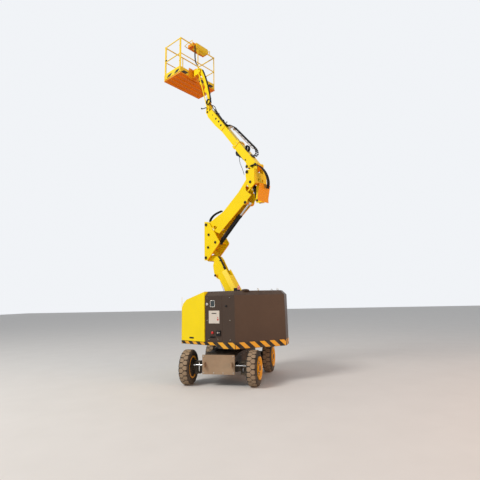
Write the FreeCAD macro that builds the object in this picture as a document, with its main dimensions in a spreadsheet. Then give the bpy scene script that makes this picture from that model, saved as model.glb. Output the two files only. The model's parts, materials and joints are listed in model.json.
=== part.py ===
import FreeCAD, Part
import Sketcher
import math
import os

# Articulating boom lift, self-propelled, with its boom raised.
# Millimetres, Z up, origin on the ground under the slewing axis, +X towards the steered axle.
# The boom and the turntable are drawn in their own plane, x forward along the boom and y to its
# left, and then turned about the slewing axis to where they park.

doc = FreeCAD.newDocument("boom_lift")
sheet = doc.addObject("Spreadsheet::Sheet", "sizes")

# alias, size in mm or degrees, what it measures
SIZES = (
    ("boom_yaw", -117, "turntable's angle from the chassis' forward direction"),
    ("boss_wall", 26, "metal left around a pin"),
    ("pin_gap", 0.4, "running clearance around a pin"),
    ("side_gap", 5, "clearance beside a hub"),
    ("seat_gap", 0.3, "clearance of a seated piece"),
    ("wheelbase", 1650, "steered axle to driven axle"),
    ("track", 1420, "tyre centre to tyre centre"),
    ("tyre_dia", 700, "outside of the tread lugs"),
    ("tyre_width", 210, "over the tread"),
    ("tyre_bore", 400, "rim seat"),
    ("flange_dia", 446, "rim flange"),
    ("hub_dia", 150, "wheel hub"),
    ("frame_overhang", 160, "chassis box beyond each axle"),
    ("frame_width", 700, "chassis box"),
    ("frame_low", 250, "chassis box underside above the ground"),
    ("frame_high", 620, "chassis box top above the ground"),
    ("end_plate", 20, "thickness of the chassis end plates"),
    ("end_half", 345, "half width of the chassis end plates"),
    ("end_low", 240, "chassis end plates' lower edge above the ground"),
    ("end_high", 617, "chassis end plates' upper edge above the ground"),
    ("axle_depth", 120, "axle beam, top to bottom"),
    ("axle_width", 130, "axle beam, front to back"),
    ("kingpin_inset", 170, "kingpin inside the tyre's centre"),
    ("kingpin_dia", 50, "kingpin"),
    ("yoke_height", 190, "height of the steering knuckle between its yoke plates"),
    ("steer_arm", 120, "kingpin to tie rod ball"),
    ("ring_dia", 760, "slewing ring"),
    ("ring_height", 38, "fixed half of the slewing ring"),
    ("deck_low", 736, "underside of the turntable deck"),
    ("deck_high", 866, "top of the turntable deck"),
    ("deck_front", 65, "thickness of the deck's front part"),
    ("hood_high", 1900, "top of the covers"),
    ("hood_chamfer", 90, "slope along the covers' top edges"),
    ("slot_half", 270, "half width of the slot that the booms fold into"),
    ("slot_back", 800, "slot's rear wall behind the slewing axis"),
    ("hood_gap", 8, "gap between two covers"),
    ("hood_wall", 12, "thickness of a hood"),
    ("plate", 25, "thickness of pedestal and knuckle plates"),
    ("pin_dia", 60, "main boom pins"),
    ("root_x", -420, "lower boom's pivot"),
    ("root_z", 1200, "lower boom's pivot"),
    ("knee_x", "=root_x + 1050", "lower boom's upper pin"),
    ("knee_z", "=root_z + 1550", "lower boom's upper pin"),
    ("low_link_x", -80, "levelling link's pin from the lower boom's pin"),
    ("low_link_z", 250, "levelling link's pin from the lower boom's pin"),
    ("crook_x", "=knee_x - 10", "riser's lower pin"),
    ("crook_z", "=knee_z + 830", "riser's lower pin"),
    ("high_link_x", -90, "riser link's pin from the riser's pin"),
    ("high_link_z", -265, "riser link's pin from the riser's pin"),
    ("apex_x", "=knee_x - 330", "riser ram's pin on the knuckle"),
    ("apex_z", "=knee_z + 350", "riser ram's pin on the knuckle"),
    ("head_x", "=crook_x - 1430", "riser's upper pin"),
    ("head_z", "=crook_z + 1050", "riser's upper pin"),
    ("main_x", "=head_x - 170", "main boom's pivot"),
    ("main_z", "=head_z + 170", "main boom's pivot"),
    ("main_angle", 52.5, "main boom's rise"),
    ("lift_foot_x", "=root_x + 170", "lower boom ram's pin on the turntable"),
    ("lift_foot_z", "=root_z - 220", "lower boom ram's pin on the turntable"),
    ("lift_lug_back", 529.6, "lower boom ram's pin from the boom's upper pin"),
    ("lift_lug_below", 20.7, "lower boom ram's pin below the boom's pin line"),
    ("ear_along", 1236.7, "riser ram's pin along the riser"),
    ("ear_above", 461.4, "riser ram's pin off the riser's pin line"),
    ("main_foot_x", "=main_x + 30", "main boom ram's pin on the head"),
    ("main_foot_z", "=main_z - 850", "main boom ram's pin on the head"),
    ("main_lug_along", 228, "main boom ram's pin along the boom"),
    ("main_lug_below", 225, "main boom ram's pin below the pivot line"),
    ("tip_along", 2543.6, "jib base's pin along the boom"),
    ("tip_below", 128, "jib base's pin below the pivot line"),
    ("tip_x", "=main_x + tip_along * cos(main_angle) + tip_below * sin(main_angle)", "jib base's pin"),
    ("tip_z", "=main_z + tip_along * sin(main_angle) - tip_below * cos(main_angle)", "jib base's pin"),
    ("jib_x", "=tip_x - 15", "jib's lower pin"),
    ("jib_z", "=tip_z + 220", "jib's lower pin"),
    ("jib_end_x", "=jib_x + 351", "jib's upper pin"),
    ("jib_end_z", "=jib_z + 1240", "jib's upper pin"),
    ("jib_link_x", 16, "jib link's pin from the jib's pin"),
    ("jib_link_z", -106, "jib link's pin from the jib's pin"),
    ("jib_foot_x", "=tip_x + 5", "jib ram's pin on the jib base"),
    ("jib_foot_z", "=tip_z + 92", "jib ram's pin on the jib base"),
    ("jib_lug_along", 520, "jib ram's pin along the jib"),
    ("jib_lug_below", 20, "jib ram's pin in front of the jib"),
    ("swing_x", "=jib_end_x + 194", "platform's turning axis"),
    ("floor_z", "=jib_end_z - 155", "platform floor's underside"),
    ("carrier_reach", 128, "platform's near long side from its turning axis"),
    ("basket_width", 734, "platform, front to back"),
    ("basket_length", 1376, "platform, side to side"),
    ("basket_left", 490, "platform's left end from the boom's plane"),
    ("rail_height", 1155, "guard rail above the floor's underside"),
    ("rail_dia", 34, "guard rail tube"),
    ("middle_rail_dia", 26, "middle guard rail tube"),
    ("post_dia", 30, "guard rail posts"),
    ("toe_height", 180, "toe board"),
    ("lower_width", 280, "lower boom box"),
    ("lower_low", 30, "lower boom box's underside above its pin line"),
    ("lower_crease", 200, "start of the box's sloping upper corners above its pin line"),
    ("lower_top", 300, "lower boom box's top above its pin line"),
    ("lower_crown", 180, "width of the box's flat top"),
    ("lower_neck", 587, "lower boom's neck, from the box to the upper pin"),
    ("lower_tip_width", 160, "lower boom's neck plates, outside"),
    ("neck_plate", 20, "thickness of a neck plate"),
    ("knee_width", 360, "knuckle, outside"),
    ("riser_width", 270, "riser, outside"),
    ("riser_wall", 20, "riser side plate"),
    ("head_width", 460, "head, outside"),
    ("main_section", 200, "main boom's outer tube"),
    ("main_axis", -70, "tube's axis from the pivot line"),
    ("main_length", 965, "outer tube from the pivot to its mouth"),
    ("inner_section", 168, "main boom's inner tube"),
    ("inner_start", 660, "inner tube's rear end from the pivot"),
    ("crown_start", 1635, "boom tip's box from the pivot"),
    ("tube_wall", 12, "wall of the boom tubes"),
    ("lift_stroke_in", 262, "lower boom ram's shortening from the parked pose"),
    ("lift_barrel", 800, "lower boom ram's gland from its foot pin"),
    ("riser_stroke_in", 271, "riser ram's shortening from the parked pose"),
    ("riser_barrel_end", 900, "riser ram's gland from its foot pin"),
    ("main_stroke_in", 279, "main boom ram's shortening from the parked pose"),
    ("main_barrel_end", 590, "main boom ram's gland from its foot pin"),
    ("jib_stroke_in", 242, "jib ram's shortening from the parked pose"),
    ("jib_barrel_end", 340, "jib ram's gland from its foot pin"),
    ("jib_section", 64, "jib tube"),
)

for row, (alias, amount, meaning) in enumerate(SIZES, start=1):
    sheet.set("A%d" % row, meaning)
    sheet.set("B%d" % row, str(amount))
    sheet.setAlias("B%d" % row, alias)
doc.recompute()


class Size:
    """A length or angle with its value and the sheet formula that gives it."""

    def __init__(self, value, formula):
        self.value = value
        self.formula = formula

    def __add__(self, other):
        other = as_size(other)
        return Size(self.value + other.value, "(%s + %s)" % (self.formula, other.formula))

    def __sub__(self, other):
        other = as_size(other)
        return Size(self.value - other.value, "(%s - %s)" % (self.formula, other.formula))

    def __mul__(self, other):
        other = as_size(other)
        return Size(self.value * other.value, "(%s * %s)" % (self.formula, other.formula))

    def __truediv__(self, other):
        other = as_size(other)
        return Size(self.value / other.value, "(%s / %s)" % (self.formula, other.formula))

    def __radd__(self, other):
        return as_size(other) + self

    def __rsub__(self, other):
        return as_size(other) - self

    def __rmul__(self, other):
        return as_size(other) * self

    def __neg__(self):
        return as_size(0) - self


def as_size(amount):
    if isinstance(amount, Size):
        return amount
    return Size(float(amount), repr(round(float(amount), 6)))


def length_of(x, z):
    total = x * x + z * z
    return Size(math.sqrt(total.value), "sqrt(%s)" % total.formula)


class Named:
    """The sheet's cells by name."""

    def __getattr__(self, alias):
        return Size(float(sheet.get(alias)), "sizes." + alias)


s = Named()
X_AXIS = FreeCAD.Vector(1, 0, 0)
Y_AXIS = FreeCAD.Vector(0, 1, 0)
Z_AXIS = FreeCAD.Vector(0, 0, 1)
NODES = {}


def bind(thing, path, amount):
    thing.setExpression(path, as_size(amount).formula)


# Features drawn by sketch

def new_body(name):
    body = doc.addObject("PartDesign::Body", name)
    body.Label = name
    return body


def new_sketch(body, role, lift=0):
    sketch = body.newObject("Sketcher::SketchObject", body.Name + "_sketch")
    plane = [part for part in body.Origin.OriginFeatures if part.Role == role][0]
    sketch.AttachmentSupport = [(plane, "")]
    sketch.MapMode = "FlatFace"
    bind(sketch, "AttachmentOffset.Base.z", lift)
    return sketch


def draw_outline(sketch, points):
    points = [(as_size(x), as_size(y)) for x, y in points]
    count = len(points)
    first = sketch.GeometryCount
    for index in range(count):
        start = points[index]
        end = points[(index + 1) % count]
        line = Part.LineSegment(FreeCAD.Vector(start[0].value, start[1].value, 0),
                                FreeCAD.Vector(end[0].value, end[1].value, 0))
        sketch.addGeometry(line, False)
    for index in range(count):
        following = first + (index + 1) % count
        sketch.addConstraint(Sketcher.Constraint("Coincident", first + index, 2, following, 1))
    for index, (x, y) in enumerate(points):
        for kind, amount in (("DistanceX", x), ("DistanceY", y)):
            rule = Sketcher.Constraint(kind, -1, 1, first + index, 1, amount.value)
            number = sketch.addConstraint(rule)
            bind(sketch, "Constraints[%d]" % number, amount)


def draw_circles(sketch, circles):
    for x, y, radius in circles:
        x, y, radius = as_size(x), as_size(y), as_size(radius)
        ring = Part.Circle(FreeCAD.Vector(x.value, y.value, 0), Z_AXIS, radius.value)
        index = sketch.addGeometry(ring, False)
        rules = ((Sketcher.Constraint("DistanceX", -1, 1, index, 3, x.value), x),
                 (Sketcher.Constraint("DistanceY", -1, 1, index, 3, y.value), y),
                 (Sketcher.Constraint("Radius", index, radius.value), radius))
        for rule, amount in rules:
            number = sketch.addConstraint(rule)
            bind(sketch, "Constraints[%d]" % number, amount)


def extrude(body, kind, sketch, depth, symmetric=True, flip=False):
    feature = body.newObject(kind, body.Name + "_step")
    feature.Profile = sketch
    if symmetric:
        feature.SideType = "Symmetric"
    feature.Reversed = flip
    bind(feature, "Length", depth)
    return feature


def add_slab(body, points, width):
    sketch = new_sketch(body, "XZ_Plane")
    draw_outline(sketch, points)
    return extrude(body, "PartDesign::Pad", sketch, width)


def add_discs(body, circles, width):
    for circle in circles:
        sketch = new_sketch(body, "XZ_Plane")
        draw_circles(sketch, [circle])
        extrude(body, "PartDesign::Pad", sketch, width)


def cut_slab(body, points, width):
    sketch = new_sketch(body, "XZ_Plane")
    draw_outline(sketch, points)
    return extrude(body, "PartDesign::Pocket", sketch, width)


def cut_discs(body, circles, width):
    sketch = new_sketch(body, "XZ_Plane")
    draw_circles(sketch, circles)
    return extrude(body, "PartDesign::Pocket", sketch, width)


def add_plan(body, points, low, high):
    sketch = new_sketch(body, "XY_Plane", low)
    draw_outline(sketch, points)
    return extrude(body, "PartDesign::Pad", sketch, high - low, symmetric=False)


def cut_plan(body, points, low, high):
    sketch = new_sketch(body, "XY_Plane", low)
    draw_outline(sketch, points)
    return extrude(body, "PartDesign::Pocket", sketch, high - low, symmetric=False, flip=True)


def revolve(body, points, role="XZ_Plane", axis="V_Axis"):
    sketch = new_sketch(body, role)
    draw_outline(sketch, points)
    feature = body.newObject("PartDesign::Revolution", body.Name + "_turned")
    feature.Profile = sketch
    feature.ReferenceAxis = (sketch, [axis])
    feature.Angle = 360
    return feature


# Solids from primitives

def box(name, x, y, z):
    """A box between pairs of x, y and z."""
    solid = doc.addObject("Part::Box", name)
    for side, axis, (low, high) in (("Length", "x", x), ("Width", "y", y), ("Height", "z", z)):
        bind(solid, side, as_size(high) - low)
        bind(solid, "Placement.Base." + axis, low)
    return solid


def rod(name, axis, radius, start, end, at):
    """A cylinder along x, y or z between start and end; at holds the other two coordinates."""
    solid = doc.addObject("Part::Cylinder", name)
    bind(solid, "Radius", radius)
    bind(solid, "Height", as_size(end) - start)
    if axis == "x":
        solid.Placement.Rotation = FreeCAD.Rotation(Y_AXIS, 90)
        base = (start, at[0], at[1])
    elif axis == "y":
        solid.Placement.Rotation = FreeCAD.Rotation(X_AXIS, -90)
        base = (at[0], start, at[1])
    else:
        base = (at[0], at[1], start)
    for letter, amount in zip("xyz", base):
        bind(solid, "Placement.Base." + letter, amount)
    return solid


def fuse(name, solids):
    joined = doc.addObject("Part::MultiFuse", name)
    joined.Shapes = solids
    joined.Refine = True
    return joined


def cut(name, base, tools):
    if len(tools) == 1:
        tool = tools[0]
    else:
        tool = fuse(name + "_tools", tools)
    result = doc.addObject("Part::Cut", name)
    result.Base = base
    result.Tool = tool
    result.Refine = True
    return result


# Where things go

def keep(name, thing, base=(0, 0, 0), pitch=0.0, on_turntable=True):
    """Names a finished sub-part and sets its place; pitch lifts its own x axis, in degrees."""
    thing.Label = name
    base = FreeCAD.Vector(*[as_size(amount).value for amount in base])
    lift = FreeCAD.Placement(base, FreeCAD.Rotation(Y_AXIS, -pitch))
    turn = FreeCAD.Placement()
    if on_turntable:
        turn = FreeCAD.Placement(FreeCAD.Vector(), FreeCAD.Rotation(Z_AXIS, s.boom_yaw.value))
    thing.Placement = turn.multiply(lift)
    NODES[name] = thing


def slope(x, z):
    return math.degrees(math.atan2(as_size(z).value, as_size(x).value))


# Chassis

half_base = s.wheelbase / 2
half_frame = half_base + s.frame_overhang
half_width = s.frame_width / 2
axle_z = s.tyre_dia / 2
axle_low = axle_z - s.axle_depth / 2
axle_high = axle_z + s.axle_depth / 2
half_axle = s.axle_width / 2
kingpin_y = s.track / 2 - s.kingpin_inset
ring_top = s.frame_high + s.ring_height
LUG_THICK = 30
LUG_REACH = 90
LUG_HOLE = 22
LUG_Z = 430
LUG_HALF = 45
LUG_INSET = 60
LUG_EYE = 40
HUB_INSET = 62
HUB_BORE = 36
FLANGE_PROUD = 22
DISC_DEPTH = 27
STEER_PIN = 12
STEER_ROD = 13
STEER_PLAY = 3
STEER_ROD_LIFT = 60
YOKE_PLATE = 30
YOKE_WEB = 25
YOKE_IN = 110
YOKE_EYE = 52
YOKE_SIDE = 48
DRIVE_RADIUS = 125
DRIVE_IN = 80
SPIGOT_REACH = 60
ROOF_DROP = 70
ROOF_RUN = 260
SADDLE = 60


def ordered(near, far):
    return (near, far) if near.value < far.value else (far, near)


def frame_body():
    body = new_body("frame_box")
    low_end = s.frame_high - ROOF_DROP
    front_in = half_base - half_axle - 20
    outline = [(-half_frame, s.frame_low), (-half_base - half_axle, s.frame_low),
               (-half_base - half_axle, axle_high), (-half_base + half_axle, axle_high),
               (-half_base + half_axle, s.frame_low), (front_in, s.frame_low), (front_in, axle_high + SADDLE),
               (half_frame, axle_high + SADDLE), (half_frame, low_end), (half_frame - ROOF_RUN, s.frame_high),
               (-half_frame + ROOF_RUN, s.frame_high), (-half_frame, low_end)]
    add_slab(body, outline, s.frame_width)
    return body


def chassis_end(side):
    """Side +1 is the front. A plate over the chassis box's end, with two tie-down lugs."""
    near = half_frame * side
    far = near + s.end_plate * side
    tip = far + LUG_REACH * side
    pieces = [box("end_plate", ordered(near, far), (-s.end_half, s.end_half), (s.end_low, s.end_high))]
    for y_side in (-1, 1):
        y = (half_width - LUG_INSET) * y_side
        lug = box("tie_lug", ordered(far - 1 * side, tip), (y - LUG_THICK / 2, y + LUG_THICK / 2),
                  (LUG_Z - LUG_HALF, LUG_Z + LUG_HALF))
        hole = rod("tie_hole", "y", LUG_HOLE, y - LUG_THICK, y + LUG_THICK, (tip - LUG_EYE * side, LUG_Z))
        pieces.append(cut("tie_lug_bored", lug, [hole]))
    return fuse("chassis_end", pieces)


def front_axle():
    beam = box("steer_beam", (half_base - half_axle, half_base + half_axle),
               (-kingpin_y + 100, kingpin_y - 100), (axle_low, axle_high))
    parts = [beam]
    half_yoke = s.yoke_height / 2
    for side in (-1, 1):
        y = kingpin_y * side
        inner = y - YOKE_IN * side
        span = ordered(inner, y)
        web = ordered(inner, inner + YOKE_WEB * side)
        parts.append(box("yoke_web", (half_base - YOKE_SIDE, half_base + YOKE_SIDE - 8), web,
                         (axle_z - half_yoke - YOKE_PLATE, axle_z + half_yoke + YOKE_PLATE)))
        for level in (-1, 1):
            low = axle_z + half_yoke * level
            plate = ordered(low, low + YOKE_PLATE * level)
            parts.append(box("yoke_plate", (half_base - YOKE_SIDE, half_base + YOKE_SIDE), span, plate))
            parts.append(rod("yoke_eye", "z", YOKE_EYE, plate[0], plate[1], (half_base, y)))
        parts.append(rod("kingpin", "z", s.kingpin_dia / 2, axle_z - half_yoke - 40,
                         axle_z + half_yoke + 40, (half_base, y)))
    parts.append(box("axle_saddle", (half_base - 60, half_base + 60), (-90, 90),
                     (axle_high - 1, axle_high + SADDLE - s.seat_gap)))
    return fuse("front_axle", parts)


def rear_axle():
    beam = box("drive_beam", (-half_base - half_axle + 2, -half_base + half_axle - 2),
               (-kingpin_y, kingpin_y), (axle_low, axle_high - s.seat_gap))
    parts = [beam]
    face = s.track / 2 - HUB_INSET - s.seat_gap
    for side in (-1, 1):
        far = face * side
        span = ordered((kingpin_y - DRIVE_IN) * side, far)
        parts.append(rod("final_drive", "y", DRIVE_RADIUS, span[0], span[1], (-half_base, axle_z)))
        out = ordered(far, far + SPIGOT_REACH * side)
        parts.append(rod("drive_spigot", "y", HUB_BORE - s.pin_gap, out[0], out[1], (-half_base, axle_z)))
    return fuse("rear_axle", parts)


def steering_knuckle(side):
    """Side +1 is the left. The hub block turns on the kingpin and carries the stub axle."""
    y = kingpin_y * side
    half_yoke = s.yoke_height / 2 - s.side_gap
    block = rod("knuckle_block", "z", 52, axle_z - half_yoke, axle_z + half_yoke, (half_base, y))
    face = s.track / 2 - HUB_INSET - s.seat_gap
    span = ordered(y, face * side)
    stub = rod("stub_flange", "y", 60, span[0], span[1], (half_base, axle_z))
    out = ordered(face * side, (face + SPIGOT_REACH) * side)
    spigot = rod("stub_spigot", "y", HUB_BORE - s.pin_gap, out[0], out[1], (half_base, axle_z))
    arm_end = half_base + s.steer_arm
    arm = box("steer_arm", (half_base, arm_end), (y - 20, y + 20), (axle_z + 12, axle_z + 36))
    pad = rod("steer_pad", "z", 20, axle_z + 12, axle_z + 36, (arm_end, y))
    ball = rod("steer_pin", "z", STEER_PIN, axle_z + 30, axle_z + 78, (arm_end, y))
    whole = fuse("knuckle_whole", [block, stub, spigot, arm, pad, ball])
    bore = rod("kingpin_bore", "z", s.kingpin_dia / 2 + s.pin_gap, axle_z - half_yoke - 5,
               axle_z + half_yoke + 5, (half_base, y))
    return cut("steering_knuckle", whole, [bore])


def steer_rod():
    """The steering ram's double-ended rod, with a fork over each knuckle's pin."""
    x = half_base + s.steer_arm
    z = axle_z + STEER_ROD_LIFT
    reach = STEER_PIN + STEER_PLAY
    parts = [rod("steer_bar", "y", STEER_ROD, -kingpin_y + 20, kingpin_y - 20, (x, z))]
    for side in (-1, 1):
        y = kingpin_y * side
        plate = box("steer_fork", (x - 54, x + 34), (y - 34, y + 34), (z - 7, z + 7))
        slot = box("steer_slot", (x - 60, x + reach), (y - reach, y + reach), (z - 9, z + 9))
        parts.append(cut("steer_fork_open", plate, [slot]))
    return fuse("steer_rod", parts)


def steer_barrel():
    x = half_base + s.steer_arm
    z = axle_z + STEER_ROD_LIFT
    barrel = rod("steer_tube", "y", 29, -210, 210, (x, z))
    saddle = box("steer_saddle", (half_base + half_axle + s.seat_gap, x), (-60, 60), (z - 45, z + 20))
    bore = rod("steer_bore", "y", STEER_ROD + s.pin_gap, -211, 211, (x, z))
    return cut("steer_barrel", fuse("steer_barrel_whole", [barrel, saddle]), [bore])


def tyre_profile():
    """Radius and offset of the tyre's section, revolved about the axle."""
    outer = s.tyre_dia / 2
    half = s.tyre_width / 2
    bore = s.tyre_bore / 2 + s.seat_gap
    lip = s.flange_dia / 2
    shoulder = 28
    return [(bore, -half + 20), (lip + 3, -half + 9), (lip + 12, -half), (outer - shoulder, -half),
            (outer, -half + shoulder), (outer, half - shoulder), (outer - shoulder, half),
            (lip + 12, half), (lip + 3, half - 9), (bore, half - 20)]


def tyre():
    body = new_body("tyre_body")
    revolve(body, tyre_profile())
    return body


def rim():
    """Dished wheel whose outer flange stands proud of the tyre; its own axis is Z, outwards."""
    body = new_body("rim_body")
    half = s.tyre_width / 2
    seat = s.tyre_bore / 2
    lip = s.flange_dia / 2
    hub = s.hub_dia / 2
    proud = half + FLANGE_PROUD
    disc = half - DISC_DEPTH
    profile = [(HUB_BORE, -HUB_INSET), (hub, -HUB_INSET), (hub, disc - 14), (seat - 54, disc - 14),
               (seat - 30, disc + 5), (seat - 14, disc - 3), (seat - 12, -half + 12), (lip - 4, -half),
               (lip, -half + 4), (lip, -half + 7), (seat, -half + 18), (seat, half - 18), (lip, half - 7),
               (lip, proud - 4), (lip - 4, proud), (seat - 8, proud - 6), (seat - 26, half - 6),
               (seat - 48, disc), (hub, disc), (hub, half + 2), (hub - 12, half + 10), (HUB_BORE, half + 10)]
    revolve(body, profile)
    return body


def place_wheel(name, thing, x, y_side):
    """The wheel's own axis is Z; its outer face is +Z."""
    turn = FreeCAD.Rotation(X_AXIS, -90 * y_side)
    thing.Label = name
    thing.Placement = FreeCAD.Placement(
        FreeCAD.Vector(x.value, s.track.value / 2 * y_side, axle_z.value), turn)
    NODES[name] = thing


keep("chassis_frame", frame_body(), on_turntable=False)
keep("chassis_end_front", chassis_end(1), on_turntable=False)
keep("chassis_end_rear", chassis_end(-1), on_turntable=False)
keep("front_axle", front_axle(), on_turntable=False)
keep("rear_axle", rear_axle(), on_turntable=False)
keep("slewing_ring", rod("slewing_ring", "z", s.ring_dia / 2, s.frame_high, ring_top, (0, 0)),
     on_turntable=False)
for side_name, side in (("left", 1), ("right", -1)):
    keep("steering_knuckle_" + side_name, steering_knuckle(side), on_turntable=False)
keep("steer_rod", steer_rod(), on_turntable=False)
keep("steer_barrel", steer_barrel(), on_turntable=False)
# name, x, side of each wheel
for wheel_name, wheel_x, side in (("front_left", half_base, 1), ("front_right", half_base, -1),
                                  ("rear_left", -half_base, 1), ("rear_right", -half_base, -1)):
    place_wheel("tyre_" + wheel_name, tyre(), wheel_x, side)
    place_wheel("rim_" + wheel_name, rim(), wheel_x, side)

# Turntable, in plan: x forward, y left

HOOD_SPLIT = -170
DECK_FRONT = 570
DECK_STEP = -385
DECK_SLOPE = 90
PLAN = ((DECK_FRONT, 1000), (HOOD_SPLIT, 985), (-830, 780), (-1330, -300), (-1150, -650), (-700, -970),
        (HOOD_SPLIT, -1000), (DECK_FRONT, -1000))
HINGE_Y = 298
HINGE_DROP = 22
HINGE_PIN = 8


def slot_outline(front):
    return [(front, s.slot_half), (-s.slot_back, s.slot_half), (-s.slot_back, -s.slot_half),
            (front, -s.slot_half)]


def turntable_deck():
    """Full depth under the tail and thinner ahead of it, with a round seat on the slewing ring."""
    body = new_body("deck_body")
    add_plan(body, PLAN, s.deck_low, s.deck_high)
    step = s.deck_high - s.deck_front
    cut_slab(body, [(DECK_STEP - DECK_SLOPE, s.deck_low - 1), (DECK_STEP, step), (DECK_FRONT + 1, step),
                    (DECK_FRONT + 1, s.deck_low - 1)], 2200)
    sketch = new_sketch(body, "XY_Plane", ring_top + s.seat_gap)
    draw_circles(sketch, [(0, 0, s.ring_dia / 2 - 20)])
    extrude(body, "PartDesign::Pad", sketch, step + 1 - ring_top - s.seat_gap, symmetric=False)
    return body


def tail_cover():
    body = new_body("tail_body")
    outline = list(PLAN[1:7])
    pad = add_plan(body, outline, s.deck_high + s.seat_gap, s.hood_high)
    doc.recompute()
    top = s.hood_high.value
    names = []
    for number, edge in enumerate(pad.Shape.Edges, start=1):
        box_ = edge.BoundBox
        if abs(box_.ZMin - top) < 0.01 and abs(box_.ZMax - top) < 0.01 and box_.XMax < HOOD_SPLIT + 1:
            if box_.XLength > 1:
                names.append("Edge%d" % number)
    chamfer = body.newObject("PartDesign::Chamfer", "tail_chamfer")
    chamfer.Base = (pad, names)
    bind(chamfer, "Size", s.hood_chamfer)
    cut_plan(body, slot_outline(0), s.deck_high, s.hood_high + 10)
    # hinge pins for the two hoods
    for side in (-1, 1):
        sketch = new_sketch(body, "YZ_Plane", HOOD_SPLIT - 20)
        draw_circles(sketch, [(HINGE_Y * side, s.hood_high - HINGE_DROP, HINGE_PIN)])
        extrude(body, "PartDesign::Pad", sketch, 50, symmetric=False)
    return body


def side_hood(side):
    """Yellow hood ahead of the tail, hollow, open below and towards the slot."""
    body = new_body("hood_body")
    rear = HOOD_SPLIT + s.hood_gap
    front = DECK_FRONT
    top = s.hood_high
    low = s.deck_high + 5
    profile = [(rear, low), (front, low), (front, 1560), (front - 40, 1650), (front - 150, 1740),
               (rear, top)]
    inner = s.slot_half + 10
    sketch = new_sketch(body, "XZ_Plane", (-1000 if side > 0 else inner))
    draw_outline(sketch, profile)
    extrude(body, "PartDesign::Pad", sketch, 1000 - inner, symmetric=False)
    wall = s.hood_wall
    hollow = [(rear + wall, low - 10), (front - wall, low - 10), (front - wall, 1552),
              (front - 50, 1636), (front - 156, 1724), (rear + wall, top - wall - 4)]
    sketch = new_sketch(body, "XZ_Plane", (-1000 + wall if side > 0 else inner - 10))
    draw_outline(sketch, hollow)
    extrude(body, "PartDesign::Pocket", sketch, 1000 - inner - wall + 10, symmetric=False, flip=True)
    sketch = new_sketch(body, "YZ_Plane", rear - 5)
    draw_circles(sketch, [(HINGE_Y * side, s.hood_high - HINGE_DROP, HINGE_PIN + s.pin_gap)])
    extrude(body, "PartDesign::Pocket", sketch, 40, symmetric=False, flip=True)
    return body


link_pin = s.pin_dia / 2 - 5


def pedestal():
    """Two plates that carry the lower boom, its link and its ram."""
    body = new_body("pedestal_body")
    foot = s.deck_high + s.seat_gap
    x, z = s.root_x, s.root_z
    link_at = (x + s.low_link_x, z + s.low_link_z)
    ram_at = (s.lift_foot_x, s.lift_foot_z)
    inner = s.lower_width + 2 * s.side_gap
    outer = inner + 2 * s.plate
    back = x - 200
    outline = [(back, foot), (ram_at[0] + 65, foot), (ram_at[0] + 60, ram_at[1] + 30),
               (ram_at[0], ram_at[1] + 65), (x + 85, z - 50), (x + 80, z + 40), (link_at[0] + 60, z + 300),
               (link_at[0] + 20, z + 328), (link_at[0] - 45, z + 328), (back, z + 240)]
    add_slab(body, outline, outer)
    cut_slab(body, [(back + 20, foot - 1), (ram_at[0] + 100, foot - 1), (ram_at[0] + 100, z + 400),
                    (back - 20, z + 400), (back - 20, z + 130), (back + 20, z + 130)], inner)
    add_discs(body, [(x, z, s.pin_dia / 2), (link_at[0], link_at[1], link_pin),
                     (ram_at[0], ram_at[1], link_pin)], outer + 16)
    return body


ENGINE_SIZE = (600, 520, 620)


def inner_block(name, side):
    length, width, height = ENGINE_SIZE
    y_near = 330 * side
    y_far = y_near + width * side
    body = new_body(name + "_body")
    outline = [(-110, y_near), (-110 + length, y_near), (-110 + length, y_far), (-110, y_far)]
    add_plan(body, outline, s.deck_high + s.seat_gap, s.deck_high + height)
    return body


keep("turntable_deck", turntable_deck())
keep("tail_cover", tail_cover())
keep("hood_left", side_hood(1))
keep("hood_right", side_hood(-1))
keep("boom_pedestal", pedestal())
keep("engine_block", inner_block("engine_block", -1))
keep("tank_block", inner_block("tank_block", 1))

# Lower boom, along its pin line

low_run = (s.knee_x - s.root_x, s.knee_z - s.root_z)
low_length = length_of(*low_run)
low_pitch = slope(*low_run)
root_base = (s.root_x, 0, s.root_z)


def along_member(base, pitch, along, above):
    """A point of a member's own axes, in the boom plane."""
    angle = math.radians(pitch)
    x = base[0] + along * math.cos(angle) - above * math.sin(angle)
    z = base[1] + along * math.sin(angle) + above * math.cos(angle)
    return x, z


lift_lug = (low_length - s.lift_lug_back, -s.lift_lug_below)


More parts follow.
